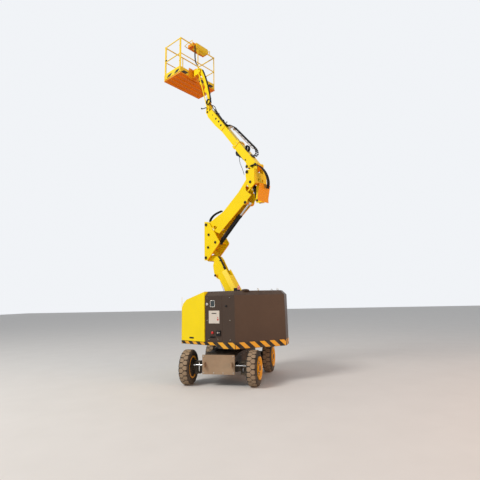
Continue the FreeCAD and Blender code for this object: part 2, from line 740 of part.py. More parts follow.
def lower_boom():
    """A box with sloping upper corners, and a narrower neck that rises over the knuckle's pin."""
    body = new_body("lower_body")
    end = low_length
    low = s.lower_low
    top = s.lower_top
    crease = s.lower_crease
    mouth = end - s.lower_neck
    lug_x, lug_z = lift_lug
    # root arms under the levelling link's pin, then the box
    add_slab(body, [(-10, -76), (130, -62), (330, low), (mouth, low), (mouth, top), (290, top), (270, 280),
                    (255, 128), (120, 104), (-50, 58), (-76, 0), (-60, -48)], s.lower_width)
    side_face = s.lower_width / 2
    flat = s.lower_crown / 2
    for side in (-1, 1):
        sketch = new_sketch(body, "YZ_Plane", 200)
        draw_outline(sketch, [(side_face * side, crease), ((side_face + 20) * side, crease),
                              ((side_face + 20) * side, top + 1), (flat * side, top + 1),
                              (flat * side, top)])
        extrude(body, "PartDesign::Pocket", sketch, mouth - 190, symmetric=False, flip=True)
    wall = 14
    cut_slab(body, [(100, low + wall), (mouth + 5, low + wall), (mouth + 5, crease), (100, crease)],
             s.lower_width - 2 * wall)
    cut_slab(body, [(200, crease - 20), (mouth + 5, crease - 20), (mouth + 5, top - wall),
                    (200, top - wall)], s.lower_crown - 2 * wall)
    # neck plates, joined by the plate under them
    add_slab(body, [(mouth - 150, low + 2), (lug_x - 70, lug_z - 30), (lug_x - 30, lug_z - 54),
                    (lug_x + 110, lug_z - 52), (lug_x + 280, lug_z + 20), (lug_x + 364, lug_z + 116),
                    (end - 77, -45), (end - 50, -74), (end, -90), (end + 64, -64), (end + 90, 0),
                    (end + 64, 64), (end - 30, 130), (end - 100, 190), (end - 150, 250),
                    (lug_x + 280, 268), (mouth - 150, 236)], s.lower_tip_width)
    gap = s.lower_tip_width - 2 * s.neck_plate
    cut_slab(body, [(mouth - 160, low + wall), (mouth - 5, low + wall), (lug_x - 30, -200),
                    (lug_x + 80, -200), (lug_x + 110, lug_z - 38), (lug_x + 276, lug_z + 36),
                    (lug_x + 364, lug_z + 134), (end - 60, -30), (end - 60, -200), (end + 150, -200),
                    (end + 150, top), (mouth - 160, top)], gap)
    # the ram's rod passes under the mouth when the boom is down
    cut_slab(body, [(mouth - 150, -200), (mouth + 10, -200), (mouth + 10, 120), (mouth - 110, 60),
                    (mouth - 150, low - 2)], 96)
    boss = s.pin_dia / 2 + s.boss_wall
    add_discs(body, [(end, 0, boss)], s.knee_width - 2 * s.plate - 2 * s.side_gap)
    # bushings that stand on both sides of the lift ram's eye
    add_discs(body, [(lug_x, lug_z, 32)], s.lower_width + 20)
    cut_discs(body, [(lug_x, lug_z, 80)], 72)
    bore = s.pin_dia / 2 + s.pin_gap
    cut_discs(body, [(0, 0, bore), (end, 0, bore)], s.knee_width * 2)
    return body


keep("lower_boom", lower_boom(), root_base, low_pitch)


def link(name, length, pin, half_height, inner, outer, cross):
    """A levelling link: two flat bars with eyes, joined by short cross blocks where cross says."""
    body = new_body(name + "_body")
    add_slab(body, [(0, -half_height), (length, -half_height), (length, half_height), (0, half_height)],
             outer * 2)
    add_discs(body, [(0, 0, pin + 16), (length, 0, pin + 16)], outer * 2)
    if cross is None:
        spans = ((-200, length + 200),)
        yoke = (length - 430, length - 340)
        add_slab(body, [(yoke[0], -half_height - 28), (yoke[1], -half_height - 28),
                        (yoke[1], half_height - 6), (yoke[0], half_height - 6)], outer * 2)
    else:
        spans = ((-200, cross[0]), (cross[0] + 60, cross[1] - 60), (cross[1], length + 200))
    floor = -200 if cross is not None else -half_height - 2
    if cross is None:
        for low, high in ((-200, yoke[0]), (yoke[1], length + 200)):
            cut_slab(body, [(low, -200), (high, -200), (high, 200), (low, 200)], inner * 2)
    for low, high in spans:
        cut_slab(body, [(low, floor), (high, floor), (high, 200), (low, 200)], inner * 2)
    cut_discs(body, [(0, 0, pin + s.pin_gap), (length, 0, pin + s.pin_gap)], outer * 3)
    return body


keep("lower_link", link("lower_link", low_length, link_pin, 18, as_size(16), as_size(30),
                        (500, low_length - 420)),
     (s.root_x + s.low_link_x, 0, s.root_z + s.low_link_z), low_pitch)


def ram(name, foot, head, barrel_radius, rod_radius, stroke_in, barrel_end, eye_width, pin, wall=18):
    """A hydraulic ram: its barrel from the foot pin and its rod from the head pin.

    stroke_in is how much it can still shorten, barrel_end is where its gland sits and wall is the
    metal around its pins.
    """
    run_x = as_size(head[0]) - foot[0]
    run_z = as_size(head[1]) - foot[1]
    span = length_of(run_x, run_z)
    pitch = slope(run_x, run_z)
    barrel = new_body(name + "_barrel_body")
    eye = pin + wall
    add_discs(barrel, [(0, 0, eye)], eye_width)
    sketch = new_sketch(barrel, "YZ_Plane", eye - 8)
    draw_circles(sketch, [(0, 0, barrel_radius)])
    extrude(barrel, "PartDesign::Pad", sketch, barrel_end - eye + 8, symmetric=False)
    sketch = new_sketch(barrel, "YZ_Plane", eye + 10)
    draw_circles(sketch, [(0, 0, rod_radius + s.pin_gap)])
    extrude(barrel, "PartDesign::Pocket", sketch, barrel_end, symmetric=False, flip=True)
    cut_discs(barrel, [(0, 0, pin + s.pin_gap)], eye_width * 2)
    keep(name + "_barrel", barrel, (foot[0], 0, foot[1]), pitch)
    slider = new_body(name + "_rod_body")
    add_discs(slider, [(span, 0, eye)], eye_width)
    start = stroke_in + eye + 18
    sketch = new_sketch(slider, "YZ_Plane", start)
    draw_circles(sketch, [(0, 0, rod_radius)])
    extrude(slider, "PartDesign::Pad", sketch, span - start - eye + 6, symmetric=False)
    keep(name + "_rod", slider, (foot[0], 0, foot[1]), pitch)


ram("lift_ram", (s.lift_foot_x, s.lift_foot_z),
    along_member((s.root_x, s.root_z), low_pitch, lift_lug[0], lift_lug[1]), 52, 30, s.lift_stroke_in,
    s.lift_barrel, 62, link_pin)


# Knuckle between the lower boom and the riser

def knuckle():
    body = new_body("knuckle_body")
    inner = s.knee_width - 2 * s.plate
    front = s.crook_x + 70
    back = s.apex_x - 130
    add_slab(body, [(front, s.crook_z + 90), (s.crook_x - 80, s.crook_z + 60), (back + 24, s.apex_z + 34),
                    (back + 4, s.apex_z + 10), (back + 4, s.apex_z - 20), (back + 24, s.apex_z - 54),
                    (s.knee_x - 40, s.knee_z - 70), (front, s.knee_z - 60)],
             s.knee_width)
    cut_slab(body, [(back - 50, s.knee_z - 200), (front + 20, s.knee_z - 200), (front + 20, s.knee_z + 120),
                    (front - 18, s.knee_z + 120), (front - 18, s.crook_z - 125),
                    (front + 20, s.crook_z - 125), (front + 20, s.crook_z + 200),
                    (back - 50, s.crook_z + 200)], inner)
    link_low = (s.knee_x + s.low_link_x, s.knee_z + s.low_link_z)
    link_high = (s.crook_x + s.high_link_x, s.crook_z + s.high_link_z)
    add_discs(body, [(s.knee_x, s.knee_z, s.pin_dia / 2), (s.crook_x, s.crook_z, s.pin_dia / 2),
                     (link_low[0], link_low[1], link_pin), (link_high[0], link_high[1], link_pin),
                     (s.apex_x, s.apex_z, link_pin)], s.knee_width + 24)
    return body


keep("knuckle", knuckle())

# Riser, along its pin line from the knuckle

riser_run = (s.head_x - s.crook_x, s.head_z - s.crook_z)
riser_length = length_of(*riser_run)
riser_pitch = slope(*riser_run)


def riser():
    # The member's own z axis points down and back here, because it leans past the vertical.
    body = new_body("riser_body")
    end = riser_length
    boss = s.pin_dia / 2 + s.boss_wall
    inner = s.riser_width - 2 * s.riser_wall
    ear_x, ear_z = s.ear_along, s.ear_above
    add_slab(body, [(-30, -62), (116, 5), (605, 122), (1250, 105), (end - 174, 40), (end - 20, -55),
                    (end + 40, -30), (end + 50, 25), (end - 50, 72), (end - 170, 118), (end - 226, 150),
                    (end - 314, 180), (end - 344, 262), (end - 330, 340), (end - 300, 455),
                    (ear_x + 90, 458), (ear_x + 40, ear_z + 35), (ear_x - 40, ear_z + 35), (ear_x - 70, 458),
                    (170, 458), (100, 330), (88, 200), (40, 62), (-40, 60)], s.riser_width)
    add_discs(body, [(0, 0, boss + 14)], s.knee_width - 2 * s.plate - 2 * s.side_gap)
    add_discs(body, [(end, 0, boss + 14)], s.head_width - 2 * s.plate - 2 * s.side_gap)
    cut_slab(body, [(-150, -200), (240, -200), (240, 52), (605, 137), (1250, 120), (1450, 84),
                    (1450, -200), (end + 150, -200), (end + 150, 560), (-150, 560)], inner)
    cut_discs(body, [(0, 0, s.pin_dia / 2 + s.pin_gap), (end, 0, s.pin_dia / 2 + s.pin_gap)],
              s.head_width * 2)
    add_discs(body, [(ear_x, ear_z, 40)], s.riser_width + 16)
    cut_discs(body, [(ear_x, ear_z, 70)], 94)
    # openings over the lower link's pin
    cut_slab(body, [(118, 186), (163, 184), (222, 268), (180, 292), (122, 280)], s.riser_width * 2)
    return body


keep("riser", riser(), (s.crook_x, 0, s.crook_z), riser_pitch)
keep("riser_link", link("riser_link", riser_length, link_pin, 22, as_size(66), as_size(90), (330, 640)),
     (s.crook_x + s.high_link_x, 0, s.crook_z + s.high_link_z), riser_pitch)
ram("riser_ram", (s.apex_x, s.apex_z),
    along_member((s.crook_x, s.crook_z), riser_pitch, s.ear_along, s.ear_above), 50, 27, s.riser_stroke_in,
    s.riser_barrel_end, 84, link_pin)


# Head on the riser, which carries the main boom

def head():
    body = new_body("head_body")
    back = s.main_x - 40
    inner = s.head_width - 2 * s.plate
    add_slab(body, [(s.head_x + 45, s.head_z + 20), (s.head_x + 24, s.head_z + 58), (back, s.head_z + 45),
                    (back, s.head_z - 330), (s.head_x - 120, s.head_z - 400), (s.head_x - 50, s.head_z - 400),
                    (s.head_x + 20, s.head_z - 300), (s.head_x + 50, s.head_z - 90)], s.head_width)
    cut_slab(body, [(back + 20, s.head_z - 600), (s.head_x + 300, s.head_z - 600),
                    (s.head_x + 300, s.head_z + 300), (back + 20, s.head_z + 300)], inner)
    # four round openings in the back plate
    for side in (-1, 1):
        for drop in (50, 205):
            sketch = new_sketch(body, "YZ_Plane", back - 5)
            draw_circles(sketch, [(62 * side, s.head_z - drop, 38)])
            extrude(body, "PartDesign::Pocket", sketch, 30, symmetric=False, flip=True)
    # lugs for the main boom
    lug_inner = s.main_section + 2 * s.side_gap + 4
    lug_outer = lug_inner + 40
    add_slab(body, [(back, s.head_z - 140), (back + 60, s.head_z - 140), (s.main_x + 60, s.head_z + 20),
                    (s.main_x + 62, s.main_z + 10), (s.main_x + 40, s.main_z + 56),
                    (s.main_x - 20, s.main_z + 62), (back - 10, s.main_z + 30)], lug_outer)
    cut_slab(body, [(back + 20, s.head_z - 200), (s.main_x + 200, s.head_z - 200),
                    (s.main_x + 200, s.main_z + 200), (back - 60, s.main_z + 200), (back - 60, s.head_z - 30),
                    (back + 20, s.head_z - 30)], lug_inner)
    # bracket for the main boom's ram
    foot_x, foot_z = s.main_foot_x, s.main_foot_z
    add_slab(body, [(back + 5, s.head_z - 150), (back - 5, s.head_z - 330), (foot_x - 120, foot_z + 60),
                    (foot_x - 120, foot_z - 66), (foot_x + 30, foot_z - 58), (foot_x + 48, foot_z),
                    (foot_x + 30, foot_z + 120), (foot_x + 12, s.head_z - 330),
                    (foot_x + 12, s.head_z - 150)], 116)
    cut_slab(body, [(back + 30, s.head_z - 100), (foot_x - 60, foot_z + 60), (foot_x - 60, foot_z - 100),
                    (foot_x + 200, foot_z - 100), (foot_x + 200, s.head_z - 100)], 88)
    link_at = (s.head_x + s.high_link_x, s.head_z + s.high_link_z)
    stub_gap = 114
    add_discs(body, [(link_at[0], link_at[1], link_pin)], s.head_width + 20)
    cut_discs(body, [(link_at[0], link_at[1], link_pin + 1)], 86)
    add_discs(body, [(s.head_x, s.head_z, s.pin_dia / 2)], s.head_width + 24)
    cut_discs(body, [(s.head_x, s.head_z, s.pin_dia / 2 + 1)], s.riser_width - 2 * s.riser_wall)
    add_discs(body, [(s.main_x, s.main_z, s.pin_dia / 2)], lug_outer + 16)
    add_discs(body, [(foot_x, foot_z, link_pin)], 124)
    return body


keep("head", head())

# Main boom

CHEEK_OUTER = 136
CHEEK_INNER = 112
TONGUE_OUTER = 100
TONGUE_INNER = 52
TIP_PIN = 22
main_base = (s.main_x, 0, s.main_z)
main_pitch = s.main_angle.value


def main_outer():
    body = new_body("outer_body")
    half = s.main_section / 2
    low = s.main_axis - half
    high = s.main_axis + half
    mouth = s.main_length
    boss = s.pin_dia / 2 + s.boss_wall
    add_slab(body, [(-20, low), (mouth, low), (mouth, high), (0, high), (-50, -20), (-50, low + 30)],
             s.main_section)
    add_discs(body, [(0, 0, boss)], s.main_section)
    add_slab(body, [(mouth - 90, low - 14), (mouth, low - 14), (mouth, high + 14), (mouth - 90, high + 14)],
             s.main_section + 20)
    hollow = half - s.tube_wall
    cut_slab(body, [(100, s.main_axis - hollow), (mouth - 40, s.main_axis - hollow),
                    (mouth - 40, s.main_axis + hollow), (100, s.main_axis + hollow)],
             s.main_section - 2 * s.tube_wall)
    # wear pads close the mouth around the inner tube
    pad = s.inner_section / 2 + s.seat_gap
    cut_slab(body, [(mouth - 50, s.main_axis - pad), (mouth + 5, s.main_axis - pad),
                    (mouth + 5, s.main_axis + pad), (mouth - 50, s.main_axis + pad)],
             s.inner_section + 2 * s.seat_gap)
    lug = (s.main_lug_along, -s.main_lug_below)
    add_slab(body, [(lug[0] - 90, low + 2), (lug[0] - 44, lug[1] - 10), (lug[0] - 20, lug[1] - 44),
                    (lug[0] + 20, lug[1] - 44), (lug[0] + 44, lug[1] - 10), (lug[0] + 90, low + 2)], 116)
    cut_slab(body, [(lug[0] - 160, low), (lug[0] + 160, low), (lug[0] + 160, lug[1] - 60),
                    (lug[0] - 160, lug[1] - 60)], 76)
    cut_discs(body, [(0, 0, s.pin_dia / 2 + s.pin_gap)], s.main_section * 2)
    return body


def main_inner():
    body = new_body("inner_body")
    half = s.inner_section / 2
    axis = s.main_axis
    crown = s.crown_start
    tip = (s.tip_along, -s.tip_below)
    add_slab(body, [(s.inner_start, axis - half), (crown + 60, axis - half), (crown + 60, axis + half),
                    (s.inner_start, axis + half)], s.inner_section)
    face = tip[0] - 90
    add_slab(body, [(crown, axis - 85), (crown + 300, axis - 120), (tip[0] - 180, axis - 130),
                    (face, axis - 112), (face, axis + 85), (crown, axis + 85)], 194)
    # narrow fork that carries the jib base's pin
    add_slab(body, [(face - 30, tip[1] - 60), (tip[0] - 20, tip[1] - 40), (tip[0] + 22, tip[1] - 32),
                    (tip[0] + 38, tip[1]), (tip[0] + 22, tip[1] + 32), (tip[0] - 20, tip[1] + 40),
                    (face - 30, tip[1] + 100)], TONGUE_OUTER)
    cut_slab(body, [(face + 4, tip[1] - 200), (tip[0] + 100, tip[1] - 200), (tip[0] + 100, tip[1] + 200),
                    (face + 4, tip[1] + 200)], TONGUE_INNER)
    add_discs(body, [(tip[0], tip[1], TIP_PIN)], CHEEK_OUTER + 14)
    return body


keep("main_outer", main_outer(), main_base, main_pitch)
keep("main_inner", main_inner(), main_base, main_pitch)
ram("main_ram", (s.main_foot_x, s.main_foot_z),
    along_member((s.main_x, s.main_z), main_pitch, s.main_lug_along, -s.main_lug_below),
    38, 22, s.main_stroke_in, s.main_barrel_end, 60, link_pin, wall=10)


# Jib

JIB_PIN = 20
RAM_PIN = 13
SWING_PIN = 25
LINK_STUB = 14
LINK_INNER = 74
LINK_OUTER = 84


def jib_base():
    """Two cheeks around the boom tip, joined by the plate behind them and by their pins."""
    body = new_body("jib_base_body")
    x, z = s.tip_x, s.tip_z
    foot_x, foot_z = s.jib_foot_x, s.jib_foot_z
    link_at = (s.jib_x + s.jib_link_x, s.jib_z + s.jib_link_z)
    add_slab(body, [(x - 30, z - 54), (x + 30, z - 54), (x + 54, z - 30), (x + 62, z), (x + 60, foot_z),
                    (x + 30, s.jib_z + 20), (s.jib_x + 15, s.jib_z + 45), (s.jib_x - 25, s.jib_z + 42),
                    (s.jib_x - 48, s.jib_z - 10), (x - 62, z + 60), (x - 62, z), (x - 54, z - 30)],
             CHEEK_OUTER)
    cut_slab(body, [(x - 52, z + 94), (x - 52, z + 176), (x - 200, z + 176), (x - 200, s.jib_z + 200),
                    (x + 200, s.jib_z + 200), (x + 200, z - 200), (x - 200, z - 200), (x - 200, z + 94)],
             CHEEK_INNER)
    add_discs(body, [(link_at[0], link_at[1], LINK_STUB)], LINK_OUTER * 2 + 8)
    cut_discs(body, [(link_at[0], link_at[1], LINK_STUB + 1)], CHEEK_INNER)
    add_discs(body, [(s.jib_x, s.jib_z, JIB_PIN), (foot_x, foot_z, RAM_PIN)], CHEEK_OUTER + 4)
    cut_discs(body, [(x, z, TIP_PIN + s.pin_gap)], CHEEK_OUTER * 2)
    return body


jib_run = (s.jib_end_x - s.jib_x, s.jib_end_z - s.jib_z)
jib_length = length_of(*jib_run)
jib_pitch = slope(*jib_run)


def jib():
    """A curved box beam that bows away from its ram, with lugs for the ram on its hollow side."""
    body = new_body("jib_body")
    end = jib_length
    lug = (s.jib_lug_along, -s.jib_lug_below)
    add_slab(body, [(0, -40), (60, -38), (150, 8), (400, 20), (end / 2, 22), (end - 320, 14),
                    (end - 120, -20), (end - 20, -42), (end, -42), (end, 42), (end - 60, 56),
                    (end - 300, 88), (end / 2, 102), (320, 90), (80, 56), (0, 40)], s.jib_section)
    add_discs(body, [(0, 0, 42), (end, 0, 42)], s.jib_section + 8)
    add_slab(body, [(lug[0] - 100, 22), (lug[0] - 40, lug[1] - 20), (lug[0] - 20, lug[1] - 26),
                    (lug[0] + 20, lug[1] - 26), (lug[0] + 40, lug[1] - 20), (lug[0] + 100, 22)],
             s.jib_section)
    # the ram's foot end and its eye lie between the side plates
    slot = s.jib_section - 14
    cut_slab(body, [(-60, -60), (150, -60), (150, 30), (50, 30), (50, 60), (-60, 60)], slot)
    cut_slab(body, [(lug[0] - 245, -60), (lug[0] + 130, -60), (lug[0] + 110, 66), (lug[0] - 200, 62)], slot)
    cut_discs(body, [(0, 0, JIB_PIN + s.pin_gap), (end, 0, JIB_PIN + s.pin_gap)], CHEEK_OUTER)
    return body


def jib_end():
    body = new_body("jib_end_body")
    x, z = s.jib_end_x, s.jib_end_z
    link_at = (x + s.jib_link_x, z + s.jib_link_z)
    column = s.swing_x
    add_slab(body, [(x - 40, z - 20), (x - 24, z - 110), (x + 10, z - 136), (x + 40, z - 132),
                    (column, s.floor_z + 28), (column, z + 55), (x + 60, z + 50), (x, z + 44),
                    (x - 34, z + 26)],
             CHEEK_OUTER)
    cut_slab(body, [(x - 100, z - 300), (x + 70, z - 300), (x + 70, z + 100), (x - 100, z + 100)],
             CHEEK_INNER)
    add_discs(body, [(link_at[0], link_at[1], LINK_STUB)], LINK_OUTER * 2 + 8)
    cut_discs(body, [(link_at[0], link_at[1], LINK_STUB + 1)], CHEEK_INNER)
    add_discs(body, [(x, z, JIB_PIN)], CHEEK_OUTER + 4)
    low = s.floor_z + 20
    high = z + 60
    sketch = new_sketch(body, "XY_Plane", low)
    draw_circles(sketch, [(column, 0, 68)])
    extrude(body, "PartDesign::Pad", sketch, high - low, symmetric=False)
    sketch = new_sketch(body, "XY_Plane", low - 34)
    draw_circles(sketch, [(column, 0, SWING_PIN)])
    extrude(body, "PartDesign::Pad", sketch, high - low + 68, symmetric=False)
    return body


keep("jib_base", jib_base())
keep("jib", jib(), (s.jib_x, 0, s.jib_z), jib_pitch)
keep("jib_link", link("jib_link", jib_length, as_size(LINK_STUB), 14, as_size(LINK_INNER),
                      as_size(LINK_OUTER), None),
     (s.jib_x + s.jib_link_x, 0, s.jib_z + s.jib_link_z), jib_pitch)
ram("jib_ram", (s.jib_foot_x, s.jib_foot_z),
    along_member((s.jib_x, s.jib_z), jib_pitch, s.jib_lug_along, -s.jib_lug_below), 19, 11,
    s.jib_stroke_in, s.jib_barrel_end, 40, as_size(RAM_PIN), wall=9)
keep("jib_end", jib_end())

# Platform

basket_near = s.swing_x + s.carrier_reach
basket_far = basket_near + s.basket_width
basket_left = s.basket_left
basket_right = basket_left - s.basket_length
floor_top = s.floor_z + 30
rail_top = s.floor_z + s.rail_height
rail_r = s.rail_dia / 2
post_r = s.post_dia / 2
RIB_COUNT = 4
RIB_INSET = 40
RIB_DEPTH = 28
TOE_PLATE = 6
GATE_GAP = 3
CONSOLE_LEFT = 130
CONSOLE_WIDTH = 470


def platform_floor():
    near = basket_near
    parts = [box("floor_plate", (near, basket_far), (basket_right, basket_left), (s.floor_z, floor_top))]
    for index in range(RIB_COUNT):
        x = near + s.basket_width * ((index + 0.5) / RIB_COUNT)
        parts.append(box("floor_rib", (x - 16, x + 16), (basket_right + RIB_INSET, basket_left - RIB_INSET),
                         (s.floor_z - RIB_DEPTH, s.floor_z)))
    # carrier that hangs the platform on its turning axis
    column = s.swing_x
    high = s.jib_end_z + 60 + s.side_gap
    low = s.floor_z + 20 - s.side_gap
    parts.append(box("carrier_plate", (near - 24, near), (-180, 180), (s.floor_z - 40, high + 60)))
    plates = [box("carrier_low", (column - 50, near), (-60, 60), (low - 25, low)),
              box("carrier_high", (column - 50, near), (-60, 60), (high, high + 25))]
    bore = rod("carrier_bore", "z", SWING_PIN + s.pin_gap, low - 60, high + 60, (column, 0))
    parts.append(cut("carrier_arms", fuse("carrier_plates", plates), [bore]))
    return fuse("platform_floor", parts)


post_near = basket_near + rail_r
post_far = basket_far - rail_r
post_left = basket_left - rail_r
post_right = basket_right + rail_r
post_middle = (post_left + post_right) / 2
rail_foot = floor_top + s.seat_gap
toe_top = rail_foot + s.toe_height
RAIL_LEVELS = (s.rail_height - rail_r, s.rail_height * 0.56)
gate_x = post_near + s.rail_dia + GATE_GAP
GATE_LUGS = (400, 900)


def long_rails(name, x, toe):
    """Posts, rails and toe board of one long side, up to the corner posts of the right end.

    Posts are a little slimmer than the top rail, and the middle rail a little slimmer than they are.
    """
    parts = [rod("post", "z", post_r, rail_foot, rail_top - rail_r, (x, y)) for y in (post_left, post_middle)]
    corner = post_right + rail_r + s.seat_gap
    parts.append(rod("top_rail", "y", rail_r, corner, basket_left, (x, s.floor_z + RAIL_LEVELS[0])))
    parts.append(rod("middle_rail", "y", s.middle_rail_dia / 2, corner, post_left,
                     (x, s.floor_z + RAIL_LEVELS[1])))
    parts.append(box("toe_board", toe, (corner, basket_left), (rail_foot, toe_top)))
    return fuse(name, parts)


def gate_hinge_lugs():
    lugs = []
    for level in GATE_LUGS:
        low = s.floor_z + level
        lug = box("gate_lug", (post_near, gate_x + 20), (post_left - 20, post_left + rail_r), (low, low + 12))
        bore = rod("gate_lug_bore", "z", rail_r - 2 + s.pin_gap, low - 5, low + 20, (gate_x, post_left))
        lugs.append(cut("gate_lug_bored", lug, [bore]))
    return lugs


def end_rails():
    """The right end: corner posts, rails between them and the toe board."""
    parts = []
    for x in (post_near, post_far):
        parts.append(rod("corner_post", "z", post_r, rail_foot, rail_top - rail_r, (x, post_right)))
    parts.append(rod("end_rail", "x", rail_r, basket_near, basket_far,
                     (post_right, s.floor_z + RAIL_LEVELS[0])))
    parts.append(rod("end_middle_rail", "x", s.middle_rail_dia / 2, post_near, post_far,
                     (post_right, s.floor_z + RAIL_LEVELS[1])))
    parts.append(box("toe_end", (post_near, post_far), (basket_right, basket_right + TOE_PLATE),
                     (rail_foot, toe_top)))
    return fuse("rails_end", parts)


def gate():
    """The platform's entry at its left end, which turns about its near upright."""
    parts = []
    y = post_left
    near = gate_x
    far = post_far - s.rail_dia - GATE_GAP
    thin = rail_r - 2
    low = floor_top + 40
    top = rail_top - rail_r
    for level in (low, s.floor_z + RAIL_LEVELS[1], top):
        parts.append(rod("gate_bar", "x", thin, near, far, (y, level)))
    for x in (near, far):
        parts.append(rod("gate_post", "z", thin, low, top, (x, y)))
    parts.append(box("gate_toe", (near, far), (y - 3, y + 3), (low, low + s.toe_height)))
    return fuse("gate", parts)


def console():
    """Control box inside the near guard rail, over its top tube."""
    body = new_body("console_body")
    low = rail_top + s.seat_gap
    near = basket_near
    sketch = new_sketch(body, "XZ_Plane", CONSOLE_LEFT)
    draw_outline(sketch, [(near, low), (near + 200, low), (near + 260, low + 50), (near + 60, low + 150),
                          (near, low + 130)])
    extrude(body, "PartDesign::Pad", sketch, CONSOLE_WIDTH, symmetric=False)
    return body


keep("platform_floor", platform_floor())
near_side = long_rails("near_side", post_near, (basket_near, basket_near + TOE_PLATE))
keep("rails_near", fuse("rails_near", [near_side] + gate_hinge_lugs()))
keep("rails_far", long_rails("rails_far", post_far, (basket_far - TOE_PLATE, basket_far)))
keep("rails_end", end_rails())
keep("gate", gate())
keep("console", console())

doc.recompute()
os.makedirs("parts", exist_ok=True)
faults = []
for item in doc.Objects:
    if "Invalid" in item.State or "Error" in item.State:
        faults.append("%s %s" % (item.Name, item.State))
for name, thing in NODES.items():
    shape = thing.Shape
    if shape.isNull() or not shape.isValid():
        faults.append(name + " has no valid shape")
if faults:
    raise RuntimeError("; ".join(faults))
for name, thing in NODES.items():
    thing.Shape.exportStep("parts/%s.step" % name)
print("%d sub-parts" % len(NODES))
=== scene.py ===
import json
import math

import bmesh
import bpy
from mathutils import Matrix, Vector


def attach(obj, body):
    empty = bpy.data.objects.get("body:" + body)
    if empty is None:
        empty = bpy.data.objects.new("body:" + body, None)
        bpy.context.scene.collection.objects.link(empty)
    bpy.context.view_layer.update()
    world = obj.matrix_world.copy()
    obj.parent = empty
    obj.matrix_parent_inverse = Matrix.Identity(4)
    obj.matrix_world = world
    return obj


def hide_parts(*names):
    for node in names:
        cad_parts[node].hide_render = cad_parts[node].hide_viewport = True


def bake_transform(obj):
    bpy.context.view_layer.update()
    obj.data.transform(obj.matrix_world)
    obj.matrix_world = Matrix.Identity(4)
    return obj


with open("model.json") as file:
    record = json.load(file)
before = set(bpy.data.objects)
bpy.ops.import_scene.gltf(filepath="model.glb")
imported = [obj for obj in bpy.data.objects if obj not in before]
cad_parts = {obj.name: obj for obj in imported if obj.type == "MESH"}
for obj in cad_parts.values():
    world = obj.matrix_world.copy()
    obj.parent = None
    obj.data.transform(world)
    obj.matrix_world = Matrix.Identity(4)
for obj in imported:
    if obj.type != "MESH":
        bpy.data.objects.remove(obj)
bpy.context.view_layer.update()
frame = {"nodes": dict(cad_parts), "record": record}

# Articulating boom lift. Metres, Z up, origin on the ground under the slewing axis, +X towards the
# steered axle. Members of the boom are dressed in their own axes: x along the member, y to the
# boom's left, z across it.

# Sizes that the model has as well

YAW = math.radians(-117)
HALF_BASE = 0.825
AXLE_Z = 0.35
TRACK = 1.42
TYRE_R = 0.35
TYRE_HALF = 0.105
KINGPIN_Y = 0.54
RIM_DISC = 0.078
HUB_FACE = 0.115
FRAME_END = 0.985
FRAME_HALF = 0.35
END_PLATE = 0.02
END_HALF = 0.345
END_LOW = 0.24
END_HIGH = 0.617
DECK_LOW = 0.736
DECK_THIN = 0.801
DECK_HIGH = 0.866
DECK_STEP = -0.385
DECK_SLOPE = 0.09
HOOD_HIGH = 1.9
CHAMFER = 0.09
HOOD_SPLIT = -0.17
PLAN = ((0.57, 1.0), (-0.17, 0.985), (-0.83, 0.78), (-1.33, -0.3), (-1.15, -0.65), (-0.7, -0.97),
        (-0.17, -1.0), (0.57, -1.0))
ROOT = (-0.42, 1.2)
KNEE = (0.63, 2.75)
LOW_LINK = (-0.08, 0.25)
CROOK = (0.62, 3.58)
HIGH_LINK = (-0.09, -0.265)
APEX = (0.3, 3.1)
HEAD = (-0.81, 4.63)
MAIN = (-0.98, 4.8)
MAIN_ANGLE = 52.5
LIFT_FOOT = (-0.25, 0.98)
LIFT_LUG = (0.35, 2.3)
EAR = (-0.65, 3.94)
MAIN_FOOT = (-0.95, 3.95)
MAIN_LUG = (0.228, -0.225)
MAIN_AXIS = -0.07
MAIN_MOUTH = 0.965
CROWN = 1.635
TIP = (0.67, 6.74)
JIB = (0.655, 6.96)
JIB_END = (1.006, 8.2)
JIB_LINK = (0.016, -0.106)
JIB_FOOT = (0.675, 6.832)
SWING_X = 1.2
FLOOR_Z = 8.045
BASKET_NEAR = 1.328
BASKET_FAR = 2.062
BASKET_LEFT = 0.49
BASKET_RIGHT = -0.886
RAIL_TOP = 9.2
RAIL_R = 0.017


def plus(a, b):
    return (a[0] + b[0], a[1] + b[1])


def pitch_of(a, b):
    return math.degrees(math.atan2(b[1] - a[1], b[0] - a[0]))


# Axes of the members

CHASSIS = Matrix.Identity(4)
BOOM = Matrix.Rotation(YAW, 4, "Z")


def member(pin, pitch):
    lift = Matrix.Rotation(math.radians(-pitch), 4, "Y")
    return BOOM @ Matrix.Translation((pin[0], 0, pin[1])) @ lift


LOWER = member(ROOT, pitch_of(ROOT, KNEE))
LOWER_LENGTH = math.dist(ROOT, KNEE)
RISER = member(CROOK, pitch_of(CROOK, HEAD))
RISER_LENGTH = math.dist(CROOK, HEAD)
UPPER = member(MAIN, MAIN_ANGLE)
ARM = member(JIB, pitch_of(JIB, JIB_END))
ARM_LENGTH = math.dist(JIB, JIB_END)


def local(place, x, z):
    """A boom-plane point in a member's own axes."""
    point = place.inverted() @ BOOM @ Vector((x, 0, z))
    return point.x, point.z


# Finishes

def node(tree, kind, **values):
    made = tree.nodes.new(kind)
    for key, value in values.items():
        if key in made.inputs:
            made.inputs[key].default_value = value
        else:
            setattr(made, key, value)
    return made


def noise(tree, coords, scale, detail=4.0, rough=0.55):
    made = node(tree, "ShaderNodeTexNoise")
    made.inputs["Scale"].default_value = scale
    made.inputs["Detail"].default_value = detail
    made.inputs["Roughness"].default_value = rough
    tree.links.new(coords, made.inputs["Vector"])
    return made.outputs["Fac"]


